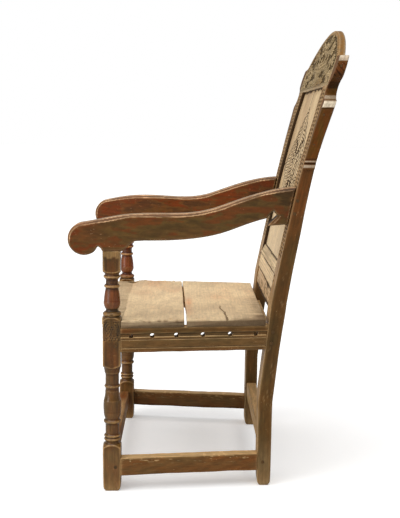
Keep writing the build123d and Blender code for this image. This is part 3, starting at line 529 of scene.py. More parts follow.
def punched(x, z, pitch, depth, seed):
    """Small round punch marks over a ground."""
    row = np.floor(z / pitch)
    u = x / pitch + 0.5 * (row % 2)
    column = np.floor(u)
    jitter = 0.22 * lattice(column.astype(np.int64), row.astype(np.int64), 3, seed)
    d = np.hypot(u - column - 0.5 - jitter, z / pitch - row - 0.5 + jitter)
    return -depth * unit(1 - (d / 0.42) ** 2)


def carve(field, high, marks, sunk, proud):
    """Depth of a sunk, punched ground and what stands on it, where it is punched, and its motifs' feet."""
    return (field * (marks - sunk + high * (sunk + proud - marks)), (marks < -0.3) * (high < 0.2),
            unit(1 - np.abs(high - 0.3) * 3))


def stile_carving(x, z):
    """Two columns of thumbnail gouge cuts beside a run-in line, on the front of a stile above the arm."""
    off = np.abs(x - (STILE_X0 + STILE_X1) / 2)
    place = xyz(x, z, 0)
    along = z + 0.1 * off + 1.2 * noise(place, (60.0, 30.0, 1.0), 3)
    bowl = 1 - ((off - 14.0) / 11.5) ** 2 - ((along % 9.2 - 4.6) / 3.4) ** 2
    cuts = -(2.1 + 0.5 * noise(place, 12.0, 7)) * np.sqrt(unit(bowl))
    return within(z, 566, 572, 967, 973) * (cuts + groove(off - 29.0, 2.6, 1.4) + groove(off, 2.2, 1.0))


def panel_carving(x, z):
    """Relief of the panel: a lozenge with a fluted border round leaves and scrolls. Also how dark each cut is
    painted: grime and painted shade in the hollows.
    """
    u, v = np.abs(x), z - PANEL_MIDDLE_Z
    inside = (1 - u / LOZENGE_X - np.abs(v) / LOZENGE_Z) / math.hypot(1 / LOZENGE_X, 1 / LOZENGE_Z)
    quarter = [curl(58, 44, 24, 6, -150, 330, 6.4, 4.6), stroke([(58, 44)], 6.0),
               curl(104, 21, 13, 4, -170, 200, 5.0, 3.8), curl(27, 84, 12, 4, -60, 260, 4.8, 3.6),
               curl(26, 24, 15, 12, 10, 80, 4.6, 3.0)]
    quarter += leaves((80, 46, 4, 34, 26, 3, -30), (48, 70, 70, 28, 24, 3, 20), (88, 20, 150, 26, 18, 3, 10),
                      (30, 62, 120, 22, 16, 3, 10), (122, 13, 8, 26, 14, 3, 0))
    strokes = mirrored(mirrored(quarter, (1, -1)), (-1, 1))
    petal = np.linspace(8, 27, 12)
    for turn in np.arange(8) * math.pi / 4:
        strokes.append(stroke(np.stack([petal * math.cos(turn), petal * math.sin(turn)], 1),
                              7.6 * np.sin(np.linspace(0.5, 2.9, 12)) + 0.8))
    strokes += [stroke([(0, 0)], 8.5), curl(0, 0, 34, 34, 0, 360, 3.0, 3.0, 60)]
    strokes += leaves((37, 0, 0, 112, 44, 7), (-37, 0, 180, 112, 44, 7), (0, 37, 90, 88, 44, 7),
                      (0, -37, 270, 88, 44, 7))
    high = relief_of(x, v, strokes)
    field = smooth(inside, 24.0, 25.5)
    carved, punches, feet = carve(field, high, punched(x, z, 6.4, 1.2, 9), 2.8, 0.6)
    flute = repeat(np.abs(v) + 0.3 * u, 8.0) / 2.6
    flutes = -2.6 * unit(1 - flute**2) * within(inside, 4.8, 6.5, 19.0, 21.0)
    veins = groove(repeat(v + 0.22 * u + 2.0 * np.sin(u / 13.0), 8.2), 2.8, 0.9) * field * high
    lines = groove(inside - 0.6, 2.6, 2.0) + groove(inside - 4.2, 2.0, 1.3) + groove(inside - 22.0, 2.6, 1.8)
    total = carved + lines + flutes + veins
    dark = 0.6 * unit(-total / 2.6) + 0.95 * unit(-flutes / 1.6) + 0.8 * unit(-lines)
    dark = dark + field * (0.16 + 0.6 * punches + 0.85 * feet) + 0.85 * unit(-veins)
    return total, np.clip(dark, 0, 0.95)


def crest_carving(x, z):
    """Relief of the crest: a palmette between leafy scrolls, inside a nicked border. Also how dark it is painted:
    grime and painted shade in its hollows.
    """
    up = z - CREST_Z
    edge = CREST_R - np.hypot(x, z - CREST_MIDDLE_Z)
    half = [curl(78, 62, 36, 7, 215, -200, 8.6, 6.2, 70), stroke([(78, 62)], 8.0),
            curl(156, 42, 27, 6, -40, 340, 7.4, 5.2, 60), stroke([(156, 42)], 6.2),
            curl(212, 25, 13, 4, 200, -60, 5.4, 4.0, 40), curl(118, 62, 62, 62, 252, 300, 5.0, 3.0, 30),
            curl(30, 96, 17, 6, 120, -160, 5.6, 4.2, 30)]
    half += leaves((98, 92, 12, 56, 34, 5, -34), (126, 16, 190, 56, 26, 5, 10), (176, 64, 6, 50, 26, 4, -36),
                   (46, 104, 40, 40, 26, 4, -10), (190, 12, 12, 52, 20, 5, -6), (52, 26, 215, 36, 22, 3, 10),
                   (112, 56, -60, 34, 22, 3, 20), (232, 36, -30, 26, 16, 3, 0), (60, 18, 0, 40, 18, 4, 0))
    strokes = mirrored(half, (-1, 1))
    for turn, length in zip(np.radians([18, 42, 66, 90, 114, 138, 162]), (44, 44, 58, 66, 58, 44, 44)):
        t = np.linspace(10, length, 16)
        strokes.append(stroke(np.stack([t * np.cos(turn), 12 + t * np.sin(turn)], 1),
                              8.6 * np.sin(np.linspace(0.3, 2.7, 16)) + 1.0))
    strokes += [stroke([(0, 12)], 11.0), curl(0, 106, 11, 11, 0, 360, 4.4, 4.4, 30), stroke([(0, 106)], 5.0)]
    high = relief_of(x, up, strokes)
    field = smooth(edge, 9.5, 12) * smooth(up, 7.5, 10) * smooth(252 - np.abs(x), 0, 3)
    carved, punches, feet = carve(field, high, punched(x, z, 6.6, 1.1, 19), 3.4, 1.0)
    nicks = groove(repeat(np.arctan2(x, z - CREST_MIDDLE_Z) * CREST_R, 11.0), 6.0, 1.6)
    nicks = nicks * within(edge, 2, 3, 7.5, 8.5)
    lines = groove(edge - 9.6, 2.6, 1.6) + groove(up - 6.5, 2.4, 1.4)
    veins = groove((z - 0.7 * np.abs(x) + 5.0 * np.sin(x / 17.0)) % 9.4 - 4.7, 3.2, 1.2) * field * high
    total = carved + nicks + lines + veins
    dark = 0.45 * unit(-total / 3.2) + field * (0.35 * punches + 0.8 * feet)
    dark = dark + 0.6 * unit(-veins) + 0.5 * unit(-nicks)
    return total, np.clip(dark, 0, 0.85)


# ---- rear stiles
def stile(side, seed):
    """A rear stile: square timber, tapered foot, raked back, carved up its front beside the panel."""
    heights = np.r_[0, 0.8, 2.2, 4.5, np.arange(8, 560, 5.0), np.arange(560, 978, 1.6), 978.5, CREST_Z]
    ahead_count = 40
    rings = []
    for z in heights:
        x0 = np.interp(z, [0, TAPER_TOP], [STILE_FOOT_X0, STILE_X0])
        worn = bells(z, (3.0, 0, 5.0)) + 1.2 * math.exp(-z / 30.0)
        radius = 2.2 + 1.1 * drift(z + 50.0, 47.0, seed) + worn * 0.9
        ring = rounded(x0 + worn, STILE_X1 - worn, float(back_y(z)) + worn, float(rear_y(z)) - worn, radius,
                       (ahead_count, 14, 16, 14))
        rings.append(np.c_[ring, np.full(len(ring), z)])
    rings = np.array(rings)
    relief = stile_carving(rings[:, :ahead_count, 0].ravel(), rings[:, :ahead_count, 2].ravel())
    relief = relief.reshape(len(heights), ahead_count)
    rings[:, :ahead_count, 1] -= relief
    shade_and_grime = np.zeros(rings.shape[:2])
    # The carved cuts are darker: grime and painted shade.
    shade_and_grime[:, :ahead_count] = unit(-relief / 1.3) * 0.85
    points, faces = loft(rings)
    x, y, z = points.T
    outer = x > 262
    red = -0.9 * smooth(z, 540, 700) * (0.75 + 0.25 * layered(points, (60.0, 60.0, 120.0), seed, 2)) * outer
    ahead = (y < back_y(z) + 1.5) & ~outer
    red = np.where(ahead, -0.15 - 0.35 * smooth(noise(points, 40.0, seed), 0.0, 0.6), red)
    # Darker on the outer face between about 250 and 620 mm up, and painted shade on the inner face beside the panel.
    darkening_and_shade = 0.3 * within(z, 250, 330, 470, 620) * outer + 0.8 * (x < 197) * (z > MIDDLE_Z) * (z < 981)
    joint = bells(z + 0.5 * (y - 122), (0.35, 123, 1.3)) * outer * (y < 142)
    scuff = smooth(layered(points, (9.0, 4.0, 9.0), seed + 2, 2), 0.62, 0.78) * outer * (z > 140)
    rub = 0.4 * np.exp(-z / 14.0) + 0.16 * (1 - smooth(z, 60, 140)) + 0.18 * scuff
    dress(f"stile_{side}", on_side(side, points, faces), frame_oak, f"rear_stile_{side}", "z", seed, (0.6, 60.0),
          unit(capped(shade_and_grime) + darkening_and_shade + joint), red + rub, lean=True, wear_and_highlight=1.3)


stile("left", 11)
stile("right", 23)


# ---- turned front legs
# Stations up a turned length: height, radius, and the radius half way up from the last, where it swells.
LOWER = ((0.0, 20.0, None), (5.0, 17.2, 17.8), (7.5, 17.2, None), (15.5, 17.2, 20.0), (16.5, 16.6, None),
         (23.5, 17.2, 20.0), (25.5, 16.4, None), (50.0, 16.4, None), (52.0, 18.2, None), (60.0, 18.2, 20.8),
         (62.0, 17.0, None), (80.0, 20.9, 20.0), (108.0, 20.6, 21.4), (131.0, 16.9, 17.8), (139.0, 16.4, 16.3),
         (140.0, 17.2, None), (146.5, 17.2, 18.8), (148.0, 16.2, None), (170.5, 16.2, None),
         (176.5, 18.2, 16.6), (190.0, 20.8, 19.2))
UPPER = ((0.0, 17.5, None), (1.5, 19.4, None), (10.5, 19.4, 22.3), (13.0, 15.0, None), (17.5, 14.6, None),
         (38.0, 19.4, 19.3), (68.5, 15.0, 17.9), (69.5, 16.0, None), (77.0, 16.0, 18.8), (78.5, 14.5, None),
         (85.5, 14.5, None), (92.0, 17.0, 14.9), (93.5, 18.4, None), (99.0, 18.4, 20.2), (100.0, 17.2, None),
         (106.0, 19.6, 17.4))


def turned(h, stations):
    """Radius of a turned length at height h, by lines and three-point curves."""
    out = np.full(len(h), stations[-1][1])
    for (z0, r0, _), (z1, r1, swell) in zip(stations, stations[1:]):
        inside = (h >= z0) & (h <= z1)
        t = (h[inside] - z0) / (z1 - z0)
        bulge = 0 if swell is None else 4 * (swell - (r0 + r1) / 2)
        out[inside] = r0 + (r1 - r0) * t + bulge * t * (1 - t)
    return out


def front_leg(side, seed):
    """A front leg: one square timber turned between its blocks, with a carved arch on the middle block."""
    z = np.r_[0, 0.7, 2.0, 4.0, np.arange(6.5, 106, 4.0), np.arange(106, 307, 1.15), np.arange(307, 421, 1.6),
              np.arange(421, 545, 1.15), np.arange(545, 584, 4.0), 586.6, ARM_Z]
    corner, shoulder = LEG_HALF * 1.46, 9
    envelope = np.full(len(z), corner)
    for z0, z1, foot, head in ((0, FOOT_TOP, 0, 1), (BLOCK_Z0, BLOCK_Z1, 1, 1), (CAP_Z, ARM_Z, 1, 0)):
        inside = (z >= z0) & (z <= z1)
        for eased, rise in ((foot, z[inside] - z0), (head, z1 - z[inside])):
            if eased:
                r = LEG_HALF + np.clip(rise, 0, shoulder) / shoulder * (corner - LEG_HALF)
                envelope[inside] = np.minimum(envelope[inside], r)
    for z0, z1, stations in ((FOOT_TOP, BLOCK_Z0, LOWER), (BLOCK_Z1, CAP_Z, UPPER)):
        inside = (z > z0) & (z < z1)
        envelope[inside] = turned(z[inside] - z0, stations)
    angles = np.linspace(0, 2 * math.pi, 112, endpoint=False)
    c, s = np.cos(angles), np.sin(angles)
    half = np.where(z > 500, CAP_HALF, LEG_HALF) - 1.4 * np.exp(-z / 18.0) - bells(z, (3.2, 0, 4.2))
    rings = []
    for zz, h, r in zip(z, half, envelope):
        round_by = 2.0 + 0.9 * drift(zz, 31.0, seed) + 4.0 * math.exp(-zz / 9.0)
        p = 2 + 34.0 / max(round_by, 1.0)
        radius = np.minimum(h / (np.abs(c) ** p + np.abs(s) ** p) ** (1 / p), r)
        rings.append(xyz(radius * c, radius * s, zz))
    rings = np.array(rings)
    co = rings.reshape(-1, 3)
    shade_and_grime = np.zeros(len(co))
    for axis, along, sign in ((0, 1, 1), (1, 0, -1), (0, 1, -1)):
        face = (co[:, 2] > 312) & (co[:, 2] < 426) & (sign * co[:, axis] > LEG_HALF - 1.2)
        u, h = co[face, along], co[face, 2]
        out = np.hypot(u, np.maximum(h - 403.0, 0))
        arch = groove(out - 18.2, 2.6, 1.3) * (h > 374) + groove(out - 13.6, 2.4, 1.1) * (h > 380)
        marks = punched(u, h, 5.4, 1.2, seed) * (h > 372) * (h < 421) * (np.abs(u) < 19)
        place = xyz(u, h, 0)
        marks = marks * smooth(noise(place, 9.0, seed + 6), -0.6, 0.2)
        shape = (arch * smooth(noise(place, 12.0, seed), -0.9, -0.1) + marks) * smooth(h, 362, 378)
        co[face, axis] += sign * shape
        # The arch and punch marks are darker, grime and painted shade, and a band inside the arch is darker still.
        shade_and_grime[face] = unit(-shape / 1.6) * 0.75 + 0.25 * within(h, 385, 400, 408, 414)
    slim = np.hypot(co[:, 0], co[:, 1])
    lathed = ((co[:, 2] > 118) & (co[:, 2] < 304)) | ((co[:, 2] > 432) & (co[:, 2] < 534))
    # The turned hollows are darker: grime and painted shade.
    shade_and_grime = np.maximum(shade_and_grime, 0.6 * (1 - smooth(slim, 15.0, 17.4)) * lathed)
    points, faces = loft(co.reshape(rings.shape))
    points += (LEG_X, LEG_Y, 0)
    x, y, z = points.T
    waver = z + 2.2 * np.cos(x * 0.29) * np.cos(y * 0.29)
    pale = np.maximum(0.5 * np.exp(-z / 11.0) + 0.1 * (1 - smooth(z, 90, 120)), 0.3 * smooth(waver, 571, 574))
    vase = within(z, 446, 456, 492, 500)
    shadow = 0.35 * within(waver, 552, 568, 572, 574) + (0.24 * vase if side == "left" else 0)
    # Both vases are redder. The right leg alone is also redder above its middle block: painted light where the arm
    # shades it.
    flush = 0.8 * (vase + (side == "right") * smooth(z, 430, 440))
    dress(f"leg_{side}", on_side(side, points, faces), leg_oak, f"front_leg_{side}", "z", seed, (0.35, 40.0),
          unit(capped(shade_and_grime) + shadow) * 0.8, pale - flush, wear_and_highlight=1.9)


front_leg("left", 31)
front_leg("right", 37)


# ---- rails and stretchers
def rail(name, node, material, grain, seed, start, end, section, place, tone, wobble=(0.5, 70.0), step=6.0,
         holes=(), wear_and_highlight=1.0):
    """A straight member: a closed section carried from start to end, its ends eased into the joints."""
    length = end - start
    at = np.r_[0, 0.7, np.arange(3.0, length - 2, step), length - 0.7, length] + start
    rings, share = [], None
    for k, s in enumerate(at):
        outline = section(s, 0.7 if k in (0, len(at) - 1) else 0.0)
        sides = list(zip(outline, np.roll(outline, -1, 0)))
        share = share or [max(1, math.ceil(np.linalg.norm(b - a) / 1.7)) for a, b in sides]
        spaced = [a + (b - a) * (np.arange(n) / n)[:, None] for (a, b), n in zip(sides, share)]
        rings.append(place(np.concatenate(spaced), s))
    mesh = mesh_of(name, *loft(np.array(rings)))
    if holes:
        bm = bmesh.new()
        for position, direction in holes:
            position, reach = Vector(position), Vector(direction).normalized() * 60
            add_rod(bm, position - reach, position + reach, 6.0, 28)
        cutter = placed("cutter", from_bmesh("holes", bm))
        mesh = evaluated(mesh, ("BOOLEAN", {"object": cutter, "operation": "DIFFERENCE", "solver": "EXACT"}))
        bpy.data.objects.remove(cutter)
    dress(name, mesh, material, node, grain, seed, wobble, *tone(points_of(mesh)), wear_and_highlight=wear_and_highlight,
          sharp=55 if holes else None)


def moulded(face, back, z0, z1, radius):
    """A section with run-in lines in its face; face < back."""
    outline = [(face + radius, z0), (face, z0 + radius)]
    for low, height, depth in sorted(LINES):
        slope = min(1.7, height * 0.5)
        outline += [(face, low), (face + depth * 0.55, low + slope * 0.35), (face + depth, low + slope),
                    (face + depth, low + height - 0.3), (face, low + height)]
    outline += [(face, z1 - radius), (face + radius, z1)]
    t = np.linspace(0, 1, 8)[1:]
    outline += [(face + radius + (back - face - 2 * radius) * v, z1) for v in t]
    outline += [(back, z1 - radius)]
    outline += [(back, z1 - radius + (z0 - z1 + 2 * radius) * v) for v in t]
    outline += [(back - radius, z0)]
    return np.array(outline + [(back - radius + (face - back + 2 * radius) * v, z0) for v in t[:-1]])


def side_rail(side, sign, seed):
    """A side seat rail, with its row of cord holes."""
    holes = [((sign * float(side_x(y)), y, CORD_Z), (sign, SPLAY, 0)) for y in LEG_REAR_Y + np.cumsum(CORD_STEPS)]
    middle_y = float(back_y((RAIL_Z0 + RAIL_Z1) / 2))

    def section(s, ease):
        uneven = 0.5 * drift(s, 23.0, seed)
        return moulded(ease, RAIL_THICK - ease, RAIL_Z0 + ease + uneven * 0.6, RAIL_Z1 - ease + uneven * 0.5,
                       2.2 + uneven)

    def place(outline, s):
        y = s + (back_y(outline[:, 1]) - middle_y) * smooth(s, 60, 130)
        return xyz(sign * (side_x(y) - outline[:, 0] / SPLAY_COS), y, outline[:, 1])

    def tone(co):
        x, y, z = co.T
        face = side_x(y) - np.abs(x) < 4.0
        chatter = 0.5 + 0.5 * layered(co, (30.0, 34.0, 6.0), seed + 3, 2)
        # Pale lines on the edges that face up are painted highlights. Dark bands under the edges that face down, and
        # in the groove, are painted shade.
        lines = bells(z, (0.8, 381.9, 0.8), (0.7, 375.6, 0.7), (0.6, 355.2, 0.7), (0.7, 404.4, 0.8))
        red = 0.8 * ((z > 391.5) & (z < 403.5)) * (0.25 + 0.75 * smooth(y, -120, -180))
        red = red + 0.6 * (z < 353) + 0.5 * ((z > 376.5) & (z < 381))
        dark = bells(z, (0.75, 390.4, 1.0), (0.6, 377.8, 0.7), (0.6, 357.2, 0.7)) + 0.3 * ((z > 382.5) & (z < 391))
        return face * dark * (0.6 + 0.4 * chatter), face * (0.06 + lines * (0.35 + 0.65 * chatter) - red * chatter)

    rail(f"side_rail_{side}", f"side_seat_rail_{side}", frame_oak, "y", seed, LEG_REAR_Y - 0.1, middle_y + 0.2,
         section, place, tone, (0.35, 60.0), 4.0, holes, 0.7)


def side_stretcher(side, sign, seed):
    """A side stretcher, its upper arris chipped and rubbed by feet."""
    def section(s, ease):
        wave, chip = drift(s, 55.0, seed), 1.2 * max(0.0, drift(s, 17.0, seed + 1))
        return rounded(ease, RAIL_THICK - ease, 40.0 + ease + 0.8 * wave, 82.5 - ease + 0.6 * wave - chip * 0.3,
                       2.6 + chip, (12, 16, 12, 16))

    def place(outline, s):
        return xyz(sign * (side_x(s) - outline[:, 0] / SPLAY_COS), s, outline[:, 1])

    def tone(co):
        z = co[:, 2]
        scratch = smooth(layered(co, (30.0, 9.0, 1.6), seed + 5, 2), 0.55, 0.75) * smooth(z, 58, 80)
        red = unit(0.45 + 0.55 * layered(co, (50.0, 60.0, 18.0), seed + 7, 2))
        # Darker along the lower edge. The right stretcher is painted darker all over, as painted shade.
        darkening_and_shade = 0.25 * (1 - smooth(z, 40, 50)) + (0.34 if side == "right" else 0.0) * (z < 81)
        return darkening_and_shade, 0.7 * scratch - 0.6 * red * (scratch < 0.05) * (z < 80)

    rail(f"low_rail_{side}", f"side_stretcher_{side}", low_oak, "y", seed, LEG_REAR_Y - 0.1, FRONT[0][0] + 0.1,
         section, place, tone, (0.7, 60.0), 4.0, wear_and_highlight=1.2)


def cross_member(name, node, material, seed, x, y0, y1, z0, z1, radius=2.4, lined=False, lean=False, darkening_and_shade=0.0):
    """A member from side to side, its section drawn in Y and Z."""
    def section(s, ease):
        wave = 0.6 * drift(s, 60.0, seed)
        box = (y0 + ease, y1 - ease, z0 + ease + wave, z1 - ease + wave * 0.5, radius)
        return moulded(*box) if lined else rounded(*box, (10, 14, 10, 14))

    def place(outline, s):
        return xyz(s, outline[:, 0] + (back_y(outline[:, 1]) if lean else 0), outline[:, 1])

    def tone(co):
        return 0.0, -darkening_and_shade * (0.7 + 0.3 * layered(co, (70.0, 30.0, 20.0), seed, 2))

    rail(name, node, material, "x", seed, -x, x, section, place, tone)


for side, sign, seed in (("left", 1, 41), ("right", -1, 43)):
    side_rail(side, sign, seed)
    side_stretcher(side, sign, seed + 10)
LEG_GAP = 262.1    # half the distance between the front legs
cross_member("front_rail", "front_seat_rail", frame_oak, 61, LEG_GAP, LEG_FRONT_Y, RAIL_REAR_Y, RAIL_Z0, RAIL_Z1,
             2.0, lined=True, darkening_and_shade=1.2)
cross_member("rear_rail", "rear_seat_rail", frame_oak, 63, STILE_X0 + 0.1, 0.5, 18.5, 338, 382, 2.0, lean=True)
cross_member("front_low_rail", "front_stretcher", low_oak, 65, LEG_GAP, LEG_FRONT_Y, RAIL_REAR_Y, 43, 85, 3.4,
             darkening_and_shade=1.1)
cross_member("rear_low_rail", "rear_stretcher", low_oak, 67, 202.5, 126.0, 153.0, 91, 131)


# ---- back: middle rail and lower board
MIDDLE_SECTION = np.array([
    (0.6, 484.0), (0.0, 485.0), (0.0, 500.0), (0.0, 520.8), (1.6, 521.2), (1.6, 522.4), (0.0, 522.9),
    (-0.1, 529.5), (0.6, 530.2), (2.6, 536.0), (4.6, 542.0), (6.4, 547.6), (9.0, 548.0), (16.0, 548.0),
    (23.4, 548.0), (24.0, 547.4), (24.0, 530.0), (24.0, 510.0), (24.0, 490.0), (23.4, 484.0), (16.0, 484.0),
    (8.0, 484.0)])


def middle_rail():
    """The rail under the panel: bevel, groove and a square lower edge."""
    def section(s, ease):
        return MIDDLE_SECTION

    def place(outline, s):
        z = outline[:, 1] + 0.7 * drift(s, 80.0, 71)
        return xyz(s, outline[:, 0] + back_y(z), z)

    def tone(co):
        z = co[:, 2] + 0.8 * layered(co, (40.0, 40.0, 40.0), 73, 2)
        # Painted shade in the groove, in the crease at the foot of the bevel, where the panel meets the rail and
        # along the lower edge. The bevel is darker towards the middle.
        dark = bells(z, (0.85, 521.8, 1.5), (0.5, 530.0, 1.1), (0.8, 547.8, 2.0), (0.7, 484.5, 2.0))
        dark = dark + 0.35 * ((z > 531) & (z < 546)) * (1 - smooth(co[:, 0], 40, 190))
        return np.clip(dark, 0, 0.95), 0.35

    rail("middle_rail", "back_middle_rail", carved_oak, "x", 71, -STILE_X0 - 0.1, STILE_X0 + 0.1, section, place,
         tone, (0.35, 60.0), 4.0)


def lower_board():
    """A rough riven board under the middle rail, its lower edge split away unevenly."""
    at = np.r_[-205, -204.4, np.arange(-203, 203.5, 2.5), 204.4, 205]
    rings = []
    for s, ragged in zip(at, layered(at, 22.0, 81, 3)):
        low = 432.5 + 1.8 * ragged
        ring = rounded(3.0, 18.0, low, MIDDLE_Z + 0.4, 1.6, (6, 20, 6, 26), 3)
        z = ring[:, 1]
        front = np.zeros(len(ring))
        front[-29:-3] = 1
        rough = layered(xyz(s, z, 0), (60.0, 5.0, 5.0), 83, 2)
        y = ring[:, 0] + back_y(z) + front * (0.7 * rough + 1.6 * (1 - smooth(z, low, low + 12)))
        rings.append(xyz(s, y, z))
    points, faces = loft(np.array(rings))
    z = points[:, 2]
    torn = layered(points, (34.0, 50.0, 5.0), 5, 3)
    shade = 0.95 * smooth(z + 5 * torn, 474, 481) + 0.45 * smooth(torn, 0.15, 0.5)
    shade = shade + 0.75 * (1 - smooth(z + 7 * torn, 434, 446))
    dress("lower_board", (points, faces), carved_oak, "back_lower_board", "x", 85, (0.3, 50.0),
          np.clip(shade, 0, 0.9))


middle_rail()
lower_board()


# ---- back: carved panel and crest
def back_panel():
    """The panel: a thin board that follows the lean of the back."""
    xs = np.r_[-PANEL_X, np.arange(-203.0, 203.5, 1.9), PANEL_X]
    zs = np.r_[PANEL_Z0, PANEL_Z0 + 0.6, np.arange(541, 988, 1.5), PANEL_Z1 - 0.6, PANEL_Z1]
    back = np.linspace(PANEL_Z1, PANEL_Z0, 40)
    carved = panel_carving(*(g.ravel() for g in np.meshgrid(xs, zs, indexing="ij")))
    rings, shade_and_grime = [], []
    for x, relief, dark in zip(xs, *(v.reshape(len(xs), -1) for v in carved)):
        rings.append(np.concatenate([xyz(x, back_y(zs) + 9.0 - relief, zs), xyz(x, back_y(back) + 18.0, back)]))
        shade_and_grime.append(np.r_[dark, 0 * back])
    points, faces = loft(np.array(rings))
    x, _, z = points.T
    # Painted shadow along the top, under the crest, and painted shade along the sides where the panel runs into the
    # stiles.
    edge = 0.6 * (1 - smooth(STILE_X0 - np.abs(x), 0, 8)) + 0.95 * smooth(z + 3 * noise(points, 16.0, 4), 970, 977)
    seam = 0.7 * (np.abs(x - 2 + 2 * noise(z, 30.0, 3)) < 3.4) * (z > 930)
    dress("panel", (points, faces), carved_oak, "back_panel", "z", 91, (0.35, 80.0),
          np.clip(capped(shade_and_grime) + edge * 0.85 + seam, 0, 0.95), 0.6 * (1 - smooth(z, 590, 720)), lean=True, wear_and_highlight=1.6)


def crest():
    """The crest: arched top, carved front, sawn back."""
    depths = tuple(d - 3.0 for d in DEPTHS)
    round_by, lid_count, back_count = 3.6, 12, 24
    t = np.linspace(0, 1, lid_count)
    rings, shade_and_grime, bare = [], [], []
    for x in np.r_[-265, -264.3, np.arange(-263, 263.5, 1.9), 264.3, 265]:
        top = CREST_MIDDLE_Z + math.sqrt(CREST_R**2 - x * x) + 0.5 * drift(x + 400, 37.0, 6)
        zf = CREST_Z + np.linspace(0, 1, 92) * (top - round_by - CREST_Z)
        zb = CREST_Z + np.linspace(1, 0, back_count) * (top - round_by - CREST_Z)
        relief, dark = crest_carving(np.full(len(zf), x), zf)
        y0, y1 = float(back_y(top)), float(back_y(top, depths, REAR_BOW))
        ease = np.clip(np.minimum(t, 1 - t) * (y1 - y0), 0, round_by) / round_by
        lid = top - round_by * (1.02 - np.sqrt(1 - (1 - ease) ** 2))
        rings.append(np.concatenate([xyz(x, back_y(zf) - relief, zf), xyz(x, y0 + 0.6 + (y1 - y0 - 1.2) * t, lid),
                                     xyz(x, back_y(zb, depths, REAR_BOW), zb)]))
        shade_and_grime.append(np.r_[dark, np.zeros(lid_count + back_count)])
        rim = smooth(CREST_R - np.hypot(x, zf - CREST_MIDDLE_Z), 12, 8) * (0.8 + 0.2 * smooth(x, 40, 120))
        bare.append(np.r_[-rim, -np.ones(lid_count), np.zeros(back_count)])
    dress("crest", loft(np.array(rings)), crest_oak, "crest_rail", "x", 97, (0.3, 60.0), capped(shade_and_grime), capped(bare),
          lean=True, wear_and_highlight=1.6)


back_panel()
crest()


# ---- ears
def ear(side, sign, seed):
    """An ear: the bracket shape of the solid, its side gouged and beaded, with painted highlights on its ledges and
    painted shade under its top lobe.
    """
    rods = []
    for up, reach in ((60.0, 277.5), (130.0, 290.0), (240.0, 313.0)):
        y, z = float(back_y(EAR_Z + up)) + 10.0, EAR_Z + up
        rods.append(((sign * (STILE_X1 + 0.1), y, z), (sign * reach, y, z), 4.2))
    mesh = remeshed(f"ear_{side}", 0.0012, 5, rods)
    co, no = points_of(mesh), normals_of(mesh)
    up = co[:, 2] - EAR_Z
    ahead = co[:, 1] - back_y(co[:, 2])
    outer = smooth(no[:, 0] * sign, 0.2, 0.5)
    bead = groove(up - 16.0, 4.2, 1.7) + groove(up - 26.5, 4.0, 1.3)
    gouge = groove((up + 0.9 * ahead + 3 * noise(co, 30.0, seed)) % 12.0 - 6.0, 5.0, 1.1)
    gouge = gouge * within(up, 216, 221, 246, 250)
    lip = groove(up - 144.0, 3.4, 1.2)
    co[:, 0] += sign * (bead + gouge + lip) * outer
    co[:, 1] += smooth(ahead, 4.0, 22.0) * bells(up, (4.5, 145, 70))
    set_points(mesh, co)
    rough = 0.75 + 0.25 * layered(co, 14.0, seed, 2)
    # Pale bands on the top and on the ledges and bead that face up are painted highlights.
    pale = 0.8 * smooth(up, 251, 253.5) + 1.6 * within(up, 146, 149, 158, 164) + 0.4 * within(up, 163, 166, 173, 177)
    pale = (pale + bells(up, (0.7, 21.3, 1.5)) + 0.5 * within(up, 5, 8, 12, 14)) * outer
    red = 0.9 * ((up > 24) & (up < 144)) * (1 - 0.35 * smooth(up, 60, 140)) + 0.8 * (up > 205) * (up < 250)
    patch = layered(co, (30.0, 12.0, 34.0), seed + 9, 2) - 0.02 * (ahead - 12)
    red = red * outer * (0.35 + 0.65 * smooth(patch, -0.3, 0.2))
    # Faces that look down, and the underside of the top lobe, are painted shade.
    under = 0.5 * smooth(-no[:, 2], 0.15, 0.5) * (up > 190) + 0.2 * outer * (up > 176) * (up < 206)
    shade_and_grime = unit(-(bead + lip) / 1.9) * outer * 0.6 + unit(-gouge) * outer * 0.3 + under
    dress(f"ear_{side}", mesh, ear_oak, f"ear_{side}", "z", seed, (0.25, 40.0), shade_and_grime, (pale - red) * rough,
          lean=True)


ear("left", 1, 101)
ear("right", -1, 103)


